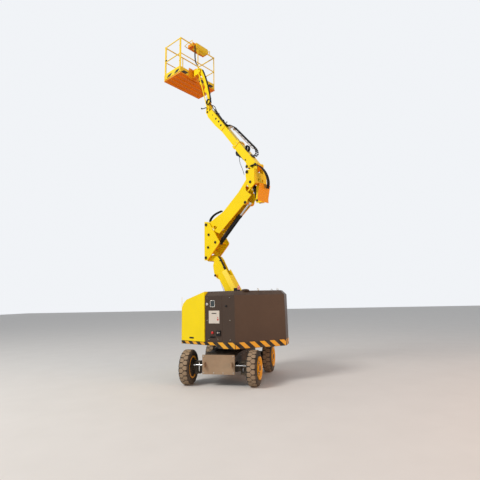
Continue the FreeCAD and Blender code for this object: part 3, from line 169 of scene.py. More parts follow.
def spread(tree, value, low, high, to_low=0.0, to_high=1.0):
    """Maps low..high to to_low..to_high, clamped."""
    made = node(tree, "ShaderNodeMapRange")
    made.clamp = True
    for key, amount in (("From Min", low), ("From Max", high), ("To Min", to_low), ("To Max", to_high)):
        made.inputs[key].default_value = amount
    tree.links.new(value, made.inputs["Value"])
    return made.outputs["Result"]


def maths(tree, kind, a, b=None):
    made = node(tree, "ShaderNodeMath")
    made.operation = kind
    for index, side in enumerate((a, b)):
        if side is None:
            continue
        if isinstance(side, (int, float)):
            made.inputs[index].default_value = side
        else:
            tree.links.new(side, made.inputs[index])
    return made.outputs[0]


def blend_colour(tree, factor, a, b):
    made = node(tree, "ShaderNodeMix")
    made.data_type = "RGBA"
    sockets = [made.inputs[6], made.inputs[7]]
    for socket, side in zip(sockets, (a, b)):
        if isinstance(side, tuple):
            socket.default_value = (side[0], side[1], side[2], 1.0)
        else:
            tree.links.new(side, socket)
    tree.links.new(factor, made.inputs[0])
    return made.outputs[2]


DUST = (0.46, 0.36, 0.25)
PRIMER = (0.16, 0.12, 0.09)


class Finish:
    """A painted, cast, plated or moulded surface with dust, mottling and rubbed edges, and painted shade on faces
    that look down where an under colour is given.
    """

    def __init__(self, name, colour, rough=0.45, metal=0.0, coat=0.0, mottle=0.12, dust=0.25, wear=0.3,
                 grain=120.0, relief=0.05, worn=PRIMER, under=None):
        self.material = bpy.data.materials.new(name)
        self.material.use_nodes = True
        tree = self.material.node_tree
        tree.nodes.clear()
        self.tree = tree
        output = node(tree, "ShaderNodeOutputMaterial")
        self.shader = node(tree, "ShaderNodeBsdfPrincipled")
        tree.links.new(self.shader.outputs[0], output.inputs[0])
        self.shader.inputs["Metallic"].default_value = metal
        self.shader.inputs["Coat Weight"].default_value = coat
        self.shader.inputs["Coat Roughness"].default_value = 0.2
        self.shader.inputs["Specular IOR Level"].default_value = 0.18
        self.coords = node(tree, "ShaderNodeTexCoord").outputs["Object"]
        geometry = node(tree, "ShaderNodeNewGeometry")

        darker = tuple(max(channel * (1 - mottle), 0.0) for channel in colour)
        cloudy = noise(tree, self.coords, 2.3, 5.0, 0.62)
        paint = blend_colour(tree, spread(tree, cloudy, 0.35, 0.7), darker, colour)
        speckle = noise(tree, self.coords, 31.0, 6.0, 0.7)
        paint = blend_colour(tree, spread(tree, speckle, 0.6, 0.8, 0.0, mottle), paint, darker)
        self.paint = paint

        # painted shade: faces that look down are tinted towards the under colour, warmer and redder, as the paint
        # looks in their shade
        split = node(tree, "ShaderNodeSeparateXYZ")
        tree.links.new(geometry.outputs["Normal"], split.inputs[0])
        if under:
            paint = blend_colour(tree, spread(tree, split.outputs["Z"], 0.02, -0.42), paint, under)

        # rubbed edges, from the difference between the face's normal and a rounded one
        rounded = node(tree, "ShaderNodeBevel")
        rounded.samples = 4
        rounded.inputs["Radius"].default_value = 0.006
        dot = node(tree, "ShaderNodeVectorMath")
        dot.operation = "DOT_PRODUCT"
        tree.links.new(rounded.outputs[0], dot.inputs[0])
        tree.links.new(geometry.outputs["Normal"], dot.inputs[1])
        edge = spread(tree, dot.outputs["Value"], 0.985, 0.86)
        scuffs = spread(tree, noise(tree, self.coords, 17.0, 8.0, 0.75), 0.5, 0.72)
        rubbed = maths(tree, "MULTIPLY", maths(tree, "MULTIPLY", edge, scuffs), wear)
        paint = blend_colour(tree, rubbed, paint, worn)

        # dust lies on what faces up and near the ground
        place = node(tree, "ShaderNodeSeparateXYZ")
        tree.links.new(geometry.outputs["Position"], place.inputs[0])
        facing = spread(tree, split.outputs["Z"], 0.25, 1.0)
        low_down = spread(tree, place.outputs["Z"], 1.0, 0.0, 0.0, 0.75)
        settled = maths(tree, "MAXIMUM", facing, low_down)
        drift = spread(tree, noise(tree, self.coords, 5.5, 7.0, 0.65), 0.36, 0.68)
        dusty = maths(tree, "MULTIPLY", maths(tree, "MULTIPLY", settled, drift), dust)
        paint = blend_colour(tree, dusty, paint, DUST)
        self.result = paint
        tree.links.new(paint, self.shader.inputs["Base Color"])

        fine = noise(tree, self.coords, grain, 3.0, 0.5)
        sheen = spread(tree, maths(tree, "ADD", speckle, dusty), 0.35, 1.1, max(rough - 0.07, 0.05), rough + 0.25)
        tree.links.new(sheen, self.shader.inputs["Roughness"])
        bump = node(tree, "ShaderNodeBump")
        bump.inputs["Strength"].default_value = relief * 4
        bump.inputs["Distance"].default_value = 0.0012
        tree.links.new(fine, bump.inputs["Height"])
        tree.links.new(rounded.outputs[0], bump.inputs["Normal"])
        tree.links.new(bump.outputs[0], self.shader.inputs["Normal"])
        self.bump = bump
        self.drift = drift


def striped(name, dark, light, pitch, lean):
    """Slanted bands across a strip whose own x runs along it and z across it."""
    made = Finish(name, light, rough=0.5, mottle=0.1, dust=0.35, wear=0.5)
    tree = made.tree
    split = node(tree, "ShaderNodeSeparateXYZ")
    tree.links.new(made.coords, split.inputs[0])
    across = maths(tree, "ADD", split.outputs["X"], maths(tree, "MULTIPLY", split.outputs["Z"], lean))
    phase = maths(tree, "FRACT", maths(tree, "ADD", maths(tree, "DIVIDE", across, pitch), 40.0))
    band = spread(tree, phase, 0.497, 0.503)
    mixed = blend_colour(tree, band, made.result, dark)
    worn = blend_colour(tree, maths(tree, "MULTIPLY", made.drift, 0.22), mixed, DUST)
    tree.links.new(worn, made.shader.inputs["Base Color"])
    return made


def tread_finish(name):
    """Rubber whose running surface is tan with dust and whose grooves and sides stay dark."""
    rubber = (0.035, 0.032, 0.03)
    made = Finish(name, rubber, rough=0.72, mottle=0.25, dust=0.3, wear=0.0, grain=260.0, relief=0.12)
    tree = made.tree
    split = node(tree, "ShaderNodeSeparateXYZ")
    tree.links.new(made.coords, split.inputs[0])
    flat = node(tree, "ShaderNodeCombineXYZ")
    tree.links.new(split.outputs["X"], flat.inputs["X"])
    tree.links.new(split.outputs["Z"], flat.inputs["Z"])
    reach = node(tree, "ShaderNodeVectorMath")
    reach.operation = "LENGTH"
    tree.links.new(flat.outputs[0], reach.inputs[0])
    radius = reach.outputs["Value"]
    top = spread(tree, radius, 0.338, 0.347)
    patch = spread(tree, noise(tree, made.coords, 9.0, 6.0, 0.7), 0.25, 0.6, 0.55, 0.95)
    paint = blend_colour(tree, maths(tree, "MULTIPLY", top, patch), made.result, (0.40, 0.29, 0.19))
    smear = spread(tree, noise(tree, made.coords, 6.0, 6.0, 0.7), 0.45, 0.75, 0.0, 0.35)
    paint = blend_colour(tree, smear, paint, (0.22, 0.17, 0.12))
    tree.links.new(paint, made.shader.inputs["Base Color"])
    return made


YELLOW = (0.97, 0.72, 0.002)
finishes = {
    # boom_paint's under colour is painted shade: orange on faces that look down, standing for the yellow paint in
    # shade
    "boom_paint": Finish("boom_paint", YELLOW, rough=0.4, coat=0.08, mottle=0.06, dust=0.05, wear=0.45,
                         relief=0.02, under=(0.92, 0.30, 0.004)),
    "hood_paint": Finish("hood_paint", (0.98, 0.73, 0.002), rough=0.38, coat=0.1, mottle=0.05, dust=0.06,
                         wear=0.35),
    "cover_grey": Finish("cover_grey", (0.068, 0.045, 0.033), rough=0.5, coat=0.1, mottle=0.12, dust=0.1,
                         wear=0.4),
    "deck_paint": Finish("deck_paint", (0.05, 0.042, 0.036), rough=0.5, mottle=0.2, dust=0.4, wear=0.5),
    "frame_grey": Finish("frame_grey", (0.095, 0.075, 0.06), rough=0.5, mottle=0.2, dust=0.35, wear=0.5),
    "plate_tan": Finish("plate_tan", (0.40, 0.28, 0.18), rough=0.55, mottle=0.2, dust=0.5, wear=0.6),
    "pin_black": Finish("pin_black", (0.012, 0.012, 0.013), rough=0.38, coat=0.1, mottle=0.25, dust=0.2,
                        wear=0.5, worn=(0.2, 0.2, 0.2)),
    "axle_black": Finish("axle_black", (0.02, 0.019, 0.018), rough=0.5, mottle=0.3, dust=0.6, wear=0.5,
                         grain=60.0, relief=0.16),
    "rod_chrome": Finish("rod_chrome", (0.78, 0.79, 0.8), rough=0.16, metal=1.0, mottle=0.05, dust=0.1,
                         wear=0.0, relief=0.0),
    "tyre": tread_finish("tyre"),
    "rim_paint": Finish("rim_paint", (0.92, 0.42, 0.01), rough=0.42, mottle=0.15, dust=0.3, wear=0.5),
    "rail_steel": Finish("rail_steel", (0.97, 0.68, 0.02), rough=0.38, coat=0.1, mottle=0.1, dust=0.1,
                         wear=0.5),
    # floor_steel's orange is painted shade of the platform's yellow steel, and its under colour adds deeper painted
    # shade on faces that look down
    "floor_steel": Finish("floor_steel", (0.88, 0.34, 0.006), rough=0.45, mottle=0.15, dust=0.1, wear=0.6,
                          under=(0.86, 0.19, 0.004)),
    "block_grey": Finish("block_grey", (0.09, 0.09, 0.095), rough=0.5, mottle=0.25, dust=0.4, wear=0.4,
                         grain=50.0, relief=0.2),
}
extra = {
    "rubber": Finish("rubber", (0.012, 0.012, 0.012), rough=0.55, mottle=0.2, dust=0.25, wear=0.0,
                     grain=200.0, relief=0.08),
    "zinc": Finish("zinc", (0.62, 0.60, 0.55), rough=0.32, metal=0.9, mottle=0.15, dust=0.25, wear=0.2,
                   worn=(0.3, 0.2, 0.12)),
    "red": Finish("red", (0.62, 0.02, 0.015), rough=0.3, coat=0.4, dust=0.15, wear=0.1),
    "lens": Finish("lens", (0.85, 0.25, 0.15), rough=0.15, coat=0.8, mottle=0.2, dust=0.2, wear=0.0),
    "pale": Finish("pale", (0.72, 0.66, 0.58), rough=0.5, mottle=0.12, dust=0.3, wear=0.3),
    "glass": Finish("glass", (0.03, 0.045, 0.05), rough=0.12, coat=0.9, mottle=0.2, dust=0.1, wear=0.0),
    # the apron's finish is painted shade: orange in place of the yellow boom paint in shadow
    "apron_painted_shade": Finish("apron_painted_shade", (0.90, 0.34, 0.004), rough=0.42, coat=0.08, mottle=0.06, dust=0.05,
                          wear=0.4),
    "stripes": striped("stripes", (0.012, 0.011, 0.01), (0.93, 0.44, 0.02), 0.235, -1.15),
    "toe_stripes": striped("toe_stripes", (0.012, 0.011, 0.01), (0.95, 0.68, 0.01), 0.34, 1.1),
}


def finish_of(name):
    return (finishes.get(name) or extra.get(name)).material


# Pieces

class Piece:
    """Collects shapes in the axes of one member, then becomes one mesh that rides on a body."""

    def __init__(self, name, body, finish, place=BOOM):
        self.name = name
        self.body = body
        self.finish = finish
        self.place = place
        self.mesh = bmesh.new()

    def faces(self, rows, closed=True, caps=True):
        """Skins rings of points one after another."""
        mesh = self.mesh
        rings = [[mesh.verts.new(point) for point in row] for row in rows]
        count = len(rings[0])
        for lower, upper in zip(rings, rings[1:]):
            for index in range(count if closed else count - 1):
                after = (index + 1) % count
                mesh.faces.new((lower[index], lower[after], upper[after], upper[index]))
        if caps:
            mesh.faces.new(list(reversed(rings[0])))
            mesh.faces.new(rings[-1])
        return rings

    def box(self, x, y, z):
        ring = ((x[0], y[0]), (x[1], y[0]), (x[1], y[1]), (x[0], y[1]))
        self.faces([[(px, py, level) for px, py in ring] for level in z])

    def slab(self, outline, y):
        """A plate whose outline is drawn in x and z."""
        self.faces([[(px, side, pz) for px, pz in outline] for side in y])

    def sheet(self, outline, z):
        self.faces([[(px, py, level) for px, py in outline] for level in z])

    def lathe(self, centre, axis, profile, sides=24):
        """Rings of (distance along the axis, radius) about an axis."""
        axis = Vector(axis).normalized()
        guide = Vector((0, 0, 1)) if abs(axis.z) < 0.9 else Vector((1, 0, 0))
        u = axis.cross(guide).normalized()
        v = axis.cross(u)
        centre = Vector(centre)
        rows = []
        for along, radius in profile:
            row = []
            for index in range(sides):
                angle = 2 * math.pi * index / sides
                row.append(centre + axis * along + (u * math.cos(angle) + v * math.sin(angle)) * radius)
            rows.append(row)
        self.faces(rows)

    def disc(self, centre, axis, radius, length, sides=24, edge=0.12):
        """A short cylinder that grows from centre along axis, with a broken edge."""
        bevel = min(radius, length) * edge
        self.lathe(centre, axis, ((0, radius), (length - bevel, radius), (length, radius - bevel)), sides)

    def bolt(self, centre, axis, size=0.012):
        self.disc(centre, axis, size * 1.1, size * 0.25, 16)
        start = Vector(centre) + Vector(axis).normalized() * size * 0.25
        self.lathe(start, axis, ((0, size * 0.92), (size * 0.55, size * 0.92), (size * 0.72, size * 0.66)), 6)

    def tube(self, points, radius, sides=10, steps=8, rounded=True):
        """A pipe or hose along a line through these points."""
        line = smooth_line(points, steps) if rounded and len(points) > 2 else [Vector(p) for p in points]
        rows = []
        normal = None
        for index, point in enumerate(line):
            before = line[max(index - 1, 0)]
            after = line[min(index + 1, len(line) - 1)]
            tangent = (after - before).normalized()
            if normal is None:
                guide = Vector((0, 0, 1)) if abs(tangent.z) < 0.9 else Vector((1, 0, 0))
                normal = tangent.cross(guide).normalized()
            normal = (normal - tangent * normal.dot(tangent)).normalized()
            side = tangent.cross(normal)
            row = []
            for step in range(sides):
                angle = 2 * math.pi * step / sides
                row.append(point + (normal * math.cos(angle) + side * math.sin(angle)) * radius)
            rows.append(row)
        self.faces(rows)

    def bead(self, a, b, radius=0.004):
        """A weld bead between two points."""
        self.tube((a, b), radius, sides=6, rounded=False)

    def done(self, bevel=0.0, slot=None, smooth=32.0, blend=None, replaces=None):
        bmesh.ops.recalc_face_normals(self.mesh, faces=self.mesh.faces)
        data = bpy.data.meshes.new(self.name)
        self.mesh.to_mesh(data)
        self.mesh.free()
        data.shade_smooth()
        data.set_sharp_from_angle(angle=math.radians(smooth))
        made = bpy.data.objects.new(self.name, data)
        bpy.context.scene.collection.objects.link(made)
        made.matrix_world = self.place
        data.materials.append(finish_of(self.finish))
        if bevel:
            rounder = made.modifiers.new("edges", "BEVEL")
            rounder.width = bevel
            rounder.segments = 2
            rounder.limit_method = "ANGLE"
            rounder.angle_limit = math.radians(35)
            rounder.harden_normals = True
        if blend is None:
            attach(made, self.body)
        else:
            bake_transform(made)
        if replaces:
            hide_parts(replaces)
        return made


def smooth_line(points, steps):
    """Points along a curve through the given ones."""
    points = [Vector(p) for p in points]
    padded = [points[0] * 2 - points[1]] + points + [points[-1] * 2 - points[-2]]
    line = []
    for index in range(1, len(padded) - 2):
        a, b, c, d = padded[index - 1:index + 3]
        for step in range(steps):
            t = step / steps
            line.append(0.5 * ((2 * b) + (c - a) * t + (2 * a - 5 * b + 4 * c - d) * t * t
                               + (3 * b - a - 3 * c + d) * t * t * t))
    line.append(points[-1])
    return line


# CAD nodes take their finishes from the record's slots

for row in frame["record"]["subparts"]:
    carried = frame["nodes"][row["node"]]
    material = finish_of(row["material_slot"])
    if not carried.data.materials:
        carried.data.materials.append(material)
    for slot in carried.material_slots:
        slot.material = material


# Wheels

WHEELS = (("front_left", HALF_BASE, 1), ("front_right", HALF_BASE, -1),
          ("rear_left", -HALF_BASE, 1), ("rear_right", -HALF_BASE, -1))
LUGS = 21
GROOVE_FLOOR = 0.333
SHOULDER = 0.028
NUT_CIRCLE = 0.112
HOLE_CIRCLE = 0.135


def tread_radius(width):
    """Radius of the tread's running surface at a distance from its middle line."""
    flat = TYRE_HALF - SHOULDER
    if width <= flat:
        return TYRE_R - 0.003 * (width / flat) ** 2
    return TYRE_R - 0.003 - (width - flat) * 0.9


def wheel_piece(name, x, side):
    place = Matrix.Translation((x, side * TRACK / 2, AXLE_Z))
    if side < 0:
        place = place @ Matrix.Rotation(math.pi, 4, "Z")
    tread = Piece("tread_" + name, "wheel_" + name, "tyre", place)
    half = TYRE_HALF
    profile = ((-half + 0.02, 0.2004), (-half + 0.009, 0.226), (-half, 0.237), (-half - 0.003, 0.262),
               (-half - 0.003, 0.296), (-half + 0.004, 0.312), (-half + 0.02, GROOVE_FLOOR - 0.008),
               (-half + 0.045, GROOVE_FLOOR), (0, GROOVE_FLOOR), (half - 0.045, GROOVE_FLOOR),
               (half - 0.02, GROOVE_FLOOR - 0.008), (half - 0.004, 0.312), (half + 0.003, 0.296),
               (half + 0.003, 0.262), (half, 0.237), (half - 0.009, 0.226), (half - 0.02, 0.2004))
    tread.lathe((0, 0, 0), (0, 1, 0), profile, 96)
    pitch = 2 * math.pi / LUGS
    # stations across a lug: width from the middle line, half its angle as a share of the pitch
    stations = ((-0.012, 0.10), (0.022, 0.41), (0.050, 0.43), (0.077, 0.33), (0.101, 0.33))
    for hand in (-1, 1):
        for index in range(LUGS):
            middle = pitch * (index + (0.5 if hand > 0 else 0.0))
            rows = []
            for width, share in stations:
                reach = tread_radius(abs(width))
                low = GROOVE_FLOOR - 0.006 if abs(width) < 0.08 else reach - 0.016
                row = []
                for radius, angle in ((low, middle - pitch * share), (reach, middle - pitch * share * 0.95),
                                      (reach, middle + pitch * share * 0.95), (low, middle + pitch * share)):
                    row.append((math.sin(angle) * radius, hand * width, math.cos(angle) * radius))
                rows.append(row)
            # the lug runs down the shoulder
            row = []
            for radius, angle in ((0.292, middle - pitch * 0.3), (0.296, middle - pitch * 0.28),
                                  (0.296, middle + pitch * 0.28), (0.292, middle + pitch * 0.3)):
                row.append((math.sin(angle) * radius, hand * (TYRE_HALF + 0.003), math.cos(angle) * radius))
            rows.append(row)
            tread.faces(rows)
    # rings moulded on the sidewalls
    for hand in (-1, 1):
        for radius in (0.246, 0.286):
            rows = []
            for index in range(96):
                angle = 2 * math.pi * index / 96
                row = []
                for out, across in ((-0.004, 0.0), (0, 0.004), (0.004, 0.0), (0, -0.003)):
                    row.append((math.sin(angle) * (radius + out), hand * (TYRE_HALF + across),
                                math.cos(angle) * (radius + out)))
                rows.append(row)
            rows.append(rows[0])
            tread.faces(rows, caps=False)
    made = tread.done(slot="tyre", smooth=38.0, replaces="tyre_" + name)
    weld = made.modifiers.new("weld", "WELD")
    weld.merge_threshold = 0.0001

    nuts = Piece("wheel_nuts_" + name, "wheel_" + name, "zinc", place)
    for index in range(9):
        angle = 2 * math.pi * index / 9
        at = (math.sin(angle) * NUT_CIRCLE, RIM_DISC - 0.0005, math.cos(angle) * NUT_CIRCLE)
        nuts.bolt(at, (0, 1, 0), 0.0125)
        nuts.disc(at, (0, 1, 0), 0.006, 0.022, 12)
    nuts.done(slot="axle_black")

    cap = Piece("hub_cap_" + name, "wheel_" + name, "axle_black", place)
    cap.lathe((0, HUB_FACE - 0.004, 0), (0, 1, 0),
              ((0, 0.058), (0.007, 0.058), (0.011, 0.05), (0.015, 0.034), (0.017, 0.012)), 32)
    for index in range(6):
        angle = 2 * math.pi * index / 6
        cap.bolt((math.sin(angle) * 0.046, HUB_FACE + 0.003, math.cos(angle) * 0.046), (0, 1, 0), 0.006)
    cap.done()

    # the rim's holes are painted shade: black discs on both faces of the rim disc stand for the dark openings
    hole_shade = Piece("rim_hole_shade_" + name, "wheel_" + name, "axle_black", place)
    for index in range(9):
        angle = 2 * math.pi * (index + 0.5) / 9
        for across, direction in ((RIM_DISC, 1), (RIM_DISC - 0.014, -1)):
            at = (math.sin(angle) * HOLE_CIRCLE, across, math.cos(angle) * HOLE_CIRCLE)
            hole_shade.lathe(at, (0, direction, 0), ((-0.002, 0.0105), (0.001, 0.0105), (0.0018, 0.008)), 20)
    hole_shade.done()


for wheel_name, wheel_x, wheel_side in WHEELS:
    wheel_piece(wheel_name, wheel_x, wheel_side)

# Chassis

trim = Piece("chassis_bolts", "chassis", "zinc", CHASSIS)
for end in (-1, 1):
    x = (FRAME_END + END_PLATE) * end
    for y, z in ((-0.315, 0.27), (0.315, 0.27), (-0.315, 0.585), (0.315, 0.585), (-0.1, 0.27), (0.1, 0.27)):
        trim.bolt((x, y, z), (end, 0, 0), 0.011)
for side in (-1, 1):
    for x in (-0.5, -0.25, 0.0, 0.25, 0.5):
        trim.bolt((x, FRAME_HALF * side, 0.56), (0, side, 0), 0.009)
trim.done(slot="rod_chrome")

ring = Piece("slewing_ring_teeth", "chassis", "axle_black", CHASSIS)
TEETH = 88
for index in range(TEETH):
    angle = 2 * math.pi * index / TEETH
    turn = Matrix.Rotation(angle, 4, "Z")
    rows = []
    for level in (0.6245, 0.652):
        row = []
        for radius, half in ((0.378, 0.0095), (0.392, 0.0045), (0.392, -0.0045), (0.378, -0.0095)):
            row.append(turn @ Vector((radius, half, level)))
        rows.append(row)
    ring.faces(rows)
ring.done()

sides = Piece("chassis_covers", "chassis", "frame_grey", CHASSIS)
for side in (-1, 1):
    y = (FRAME_HALF * side, (FRAME_HALF + 0.006) * side)
    sides.box((-0.58, -0.08), (min(y), max(y)), (0.29, 0.53))
    sides.box((0.06, 0.60), (min(y), max(y)), (0.29, 0.50))
sides.done(bevel=0.003)

sides = Piece("chassis_welds", "chassis", "frame_grey", CHASSIS)
for end in (-1, 1):
    for side in (-1, 1):
        for edge in (-1, 1):
            y = 0.29 * side + 0.017 * edge
            sides.bead(((FRAME_END + 0.022) * end, y, 0.385), ((FRAME_END + 0.022) * end, y, 0.475), 0.005)
sides.done()

# front and rear axle details
axle = Piece("axle_details", "chassis", "axle_black", CHASSIS)
for side in (-1, 1):
    y = side * KINGPIN_Y
    for level, up in ((0.485, 1), (0.215, -1)):
        axle.disc((HALF_BASE, y, level), (0, 0, up), 0.034, 0.012)
        for index in range(4):
            angle = math.pi / 4 + math.pi / 2 * index
            axle.bolt((HALF_BASE + math.cos(angle) * 0.036, y + math.sin(angle) * 0.036, level - 0.002 * up),
                      (0, 0, up), 0.006)
    # drive motors behind the rear wheels
    axle.lathe((-HALF_BASE, side * 0.46, AXLE_Z), (0, -side, 0),
               ((0, 0.105), (0.03, 0.105), (0.04, 0.085), (0.11, 0.082), (0.12, 0.06)), 28)
    for index in range(8):
        angle = 2 * math.pi * index / 8
        axle.bolt((-HALF_BASE + math.cos(angle) * 0.112, side * 0.458, AXLE_Z + math.sin(angle) * 0.112),
                  (0, -side, 0), 0.009)
axle.done(bevel=0.0015)

# Turntable

STRIP_GAP = 0.012


def edge_axes(index):
    """Axes of one plan edge: x runs along it towards its first corner, y points outwards."""
    first, second = PLAN[index], PLAN[(index + 1) % len(PLAN)]
    x = Vector((first[0] - second[0], first[1] - second[1], 0))
    length = x.length
    x.normalize()
    out = Vector((-x.y, x.x, 0))
    place = Matrix(((x.x, out.x, 0, second[0]), (x.y, out.y, 0, second[1]), (0, 0, 1, 0), (0, 0, 0, 1)))
    return BOOM @ place, length


def deck_underside(x):
    """The deck is thin ahead of the step, and slopes down to its full depth behind it."""
    share = min(max((DECK_STEP - x) / DECK_SLOPE, 0.0), 1.0)
    return DECK_THIN + (DECK_LOW - DECK_THIN) * share


STRIPE_TOP = DECK_HIGH - 0.003
STRIPE_PROUD = 0.0025
for index in range(len(PLAN)):
    place, length = edge_axes(index)
    second = PLAN[(index + 1) % len(PLAN)]
    lean = (PLAN[index][0] - second[0]) / length
    stations = [STRIP_GAP / 2, length - STRIP_GAP / 2]
    for corner in (DECK_STEP, DECK_STEP - DECK_SLOPE):
        if abs(lean) > 0.01:
            crossing = (corner - second[0]) / lean
            if stations[0] < crossing < stations[1]:
                stations.append(crossing)
    stations.sort()
    lower = [(x, deck_underside(second[0] + lean * x) + 0.004) for x in stations]
    strip = Piece("stripe_%d" % index, "turntable", "stripes", place)
    strip.slab(lower + [(stations[-1], STRIPE_TOP), (stations[0], STRIPE_TOP)], (-0.001, STRIPE_PROUD))
    strip.done(slot="deck_paint")

# folds and seams of the tail's covers, as distances from each edge's second corner
for index, cuts in ((3, (0.02,)), (5, (0.02,))):
    place, length = edge_axes(index)
    seam = Piece("cover_seam_%d" % index, "turntable", "pin_black", place)
    for x in cuts:
        seam.box((x - 0.002, x + 0.002), (-0.002, 0.0006), (DECK_HIGH + 0.01, HOOD_HIGH - CHAMFER))
    seam.done(slot="pin_black")

# Operator's side of the tail: the first slanted cover, measured from the hood
panel_place, panel_length = edge_axes(1)


def on_panel(name, finish):
    return Piece(name, "turntable", finish, panel_place)


def panel_x(x):
    return panel_length - x


def panel_box(piece, x0, x1, y, z):
    piece.box((panel_x(x1), panel_x(x0)), y, z)


piece = on_panel("panel_frame", "cover_grey")
panel_box(piece, 0.015, 0.40, (-0.003, 0.004), (0.885, 1.80))
piece.done(bevel=0.003, slot="cover_grey")

piece = on_panel("panel_display", "glass")
panel_box(piece, 0.135, 0.225, (0.004, 0.009), (1.585, 1.70))
piece.done(bevel=0.002, slot="cover_grey")
piece = on_panel("panel_display_frame", "zinc")
for x0, x1, z0, z1 in ((0.123, 0.237, 1.573, 1.585), (0.123, 0.237, 1.70, 1.712), (0.123, 0.135, 1.573, 1.712),
                       (0.225, 0.237, 1.573, 1.712)):
    panel_box(piece, x0, x1, (0.003, 0.011), (z0, z1))
piece.done(bevel=0.001, slot="rod_chrome")

piece = on_panel("panel_latch", "zinc")
piece.lathe((panel_x(0.047), 0.004, 1.635), (0, 1, 0), ((0, 0.03), (0.006, 0.03), (0.009, 0.024), (0.009, 0.004)), 24)
piece.box((panel_x(0.047) - 0.009, panel_x(0.047) + 0.009), (0.009, 0.02), (1.615, 1.66))
piece.done(bevel=0.002, slot="rod_chrome")

piece = on_panel("panel_lock", "pin_black")
piece.lathe((panel_x(0.50), 0.004, 1.59), (0, 1, 0), ((0, 0.022), (0.01, 0.022), (0.013, 0.018)), 24)
piece.box((panel_x(0.50) - 0.004, panel_x(0.50) + 0.004), (0.013, 0.018), (1.578, 1.602))
piece.done(bevel=0.001)

piece = on_panel("panel_papers", "pale")
panel_box(piece, 0.09, 0.34, (0.004, 0.0075), (1.24, 1.50))
piece.done(bevel=0.001, slot="cover_grey")
piece = on_panel("panel_papers_clip", "pin_black")
panel_box(piece, 0.16, 0.27, (0.0075, 0.0125), (1.437, 1.452))
piece.done(bevel=0.001)
piece = on_panel("panel_papers_tab", "red")
panel_box(piece, 0.288, 0.32, (0.0075, 0.0095), (1.30, 1.335))
panel_box(piece, 0.292, 0.312, (0.0075, 0.0095), (1.352, 1.368))
piece.done(bevel=0.001, slot="pin_black")

piece = on_panel("panel_switch_box", "pin_black")
panel_box(piece, 0.27, 0.37, (0.004, 0.03), (0.99, 1.10))
piece.done(bevel=0.004)
piece = on_panel("panel_key", "zinc")
piece.lathe((panel_x(0.31), 0.03, 1.055), (0, 1, 0), ((0, 0.019), (0.006, 0.019), (0.01, 0.013)), 24)
piece.box((panel_x(0.31) - 0.003, panel_x(0.31) + 0.003), (0.01, 0.052), (1.04, 1.07))
piece.lathe((panel_x(0.35), 0.03, 1.06), (0, 1, 0), ((0, 0.008), (0.006, 0.008), (0.01, 0.005)), 16)
piece.done(bevel=0.001, slot="rod_chrome")
piece = on_panel("panel_stop", "red")
piece.lathe((panel_x(0.18), 0.004, 1.055), (0, 1, 0),
            ((0, 0.014), (0.016, 0.014), (0.016, 0.027), (0.026, 0.026), (0.032, 0.014)), 28)
piece.done(slot="pin_black")
piece = on_panel("panel_toggles", "rubber")
for x in (0.13, 0.155, 0.18, 0.205, 0.23):
    piece.lathe((panel_x(x), 0.004, 0.965), (0, 1, 0), ((0, 0.009), (0.004, 0.009), (0.02, 0.004)), 14)
piece.box((min(panel_x(0.115), panel_x(0.245)), max(panel_x(0.115), panel_x(0.245))), (0.003, 0.0055), (0.945, 0.985))
piece.done(bevel=0.001, slot="pin_black")
piece = on_panel("panel_screws", "zinc")
for x, z in ((0.09, 0.915), (0.30, 0.915), (0.05, 1.76), (0.58, 1.76), (0.58, 0.915), (0.05, 1.3), (0.58, 1.3)):
    piece.bolt((panel_x(x), 0.004, z), (0, 1, 0), 0.007)
piece.done(slot="rod_chrome")

# Yellow hoods: folded rims, slot handles, louvres on the engine's side
RIM_LOW = 0.8735
RIM_HIGH = 1.80
HOOD_FRONT = 0.566
for hood_name, side in (("left", 1), ("right", -1)):
    body = "hood_%s_body" % hood_name
    outer = 1.0 * side
    rim = Piece("hood_rim_" + hood_name, body, "hood_paint")
    rear = HOOD_SPLIT + 0.012
    across = outer + 0.0015 * side
    rim.tube(((rear, across, RIM_LOW), (HOOD_FRONT, across, RIM_LOW)), 0.0035, sides=8, rounded=False)
    for x in (rear, HOOD_FRONT):
        rim.tube(((x, across, RIM_LOW), (x, across, RIM_HIGH)), 0.0035, sides=8, rounded=False)
    rim.done(slot="hood_paint")

    grip = Piece("hood_handle_" + hood_name, body, "pin_black")
    rows = []
    for y in (outer - 0.004 * side, outer + 0.0025 * side):
        row = []
        for step in range(20):
            angle = 2 * math.pi * step / 20
            row.append((0.24 + math.copysign(0.055, math.cos(angle)) + math.cos(angle) * 0.017, y,
                        0.935 + math.sin(angle) * 0.017))
        rows.append(row)
    grip.faces(rows)
    grip.done()

    hinge = Piece("hood_hinges_" + hood_name, "turntable", "pin_black")
    for x in (HOOD_SPLIT - 0.03, HOOD_SPLIT - 0.10):
        hinge.box((x - 0.02, x + 0.02), tuple(sorted((0.278 * side, 0.318 * side))),
                  (HOOD_HIGH - 0.03, HOOD_HIGH + 0.004))
    hinge.done(bevel=0.002)

vents = Piece("hood_louvres", "hood_right_body", "hood_paint")
for row in range(7):
    z = 1.18 + row * 0.045
    profile = ((0.0, 0.0), (-0.011, -0.006), (-0.011, -0.011), (0.0, -0.022))
    vents.faces([[(x, -1.0 + py, z + pz) for py, pz in profile] for x in (-0.08, 0.48)])
vents.done(bevel=0.001, slot="hood_paint")

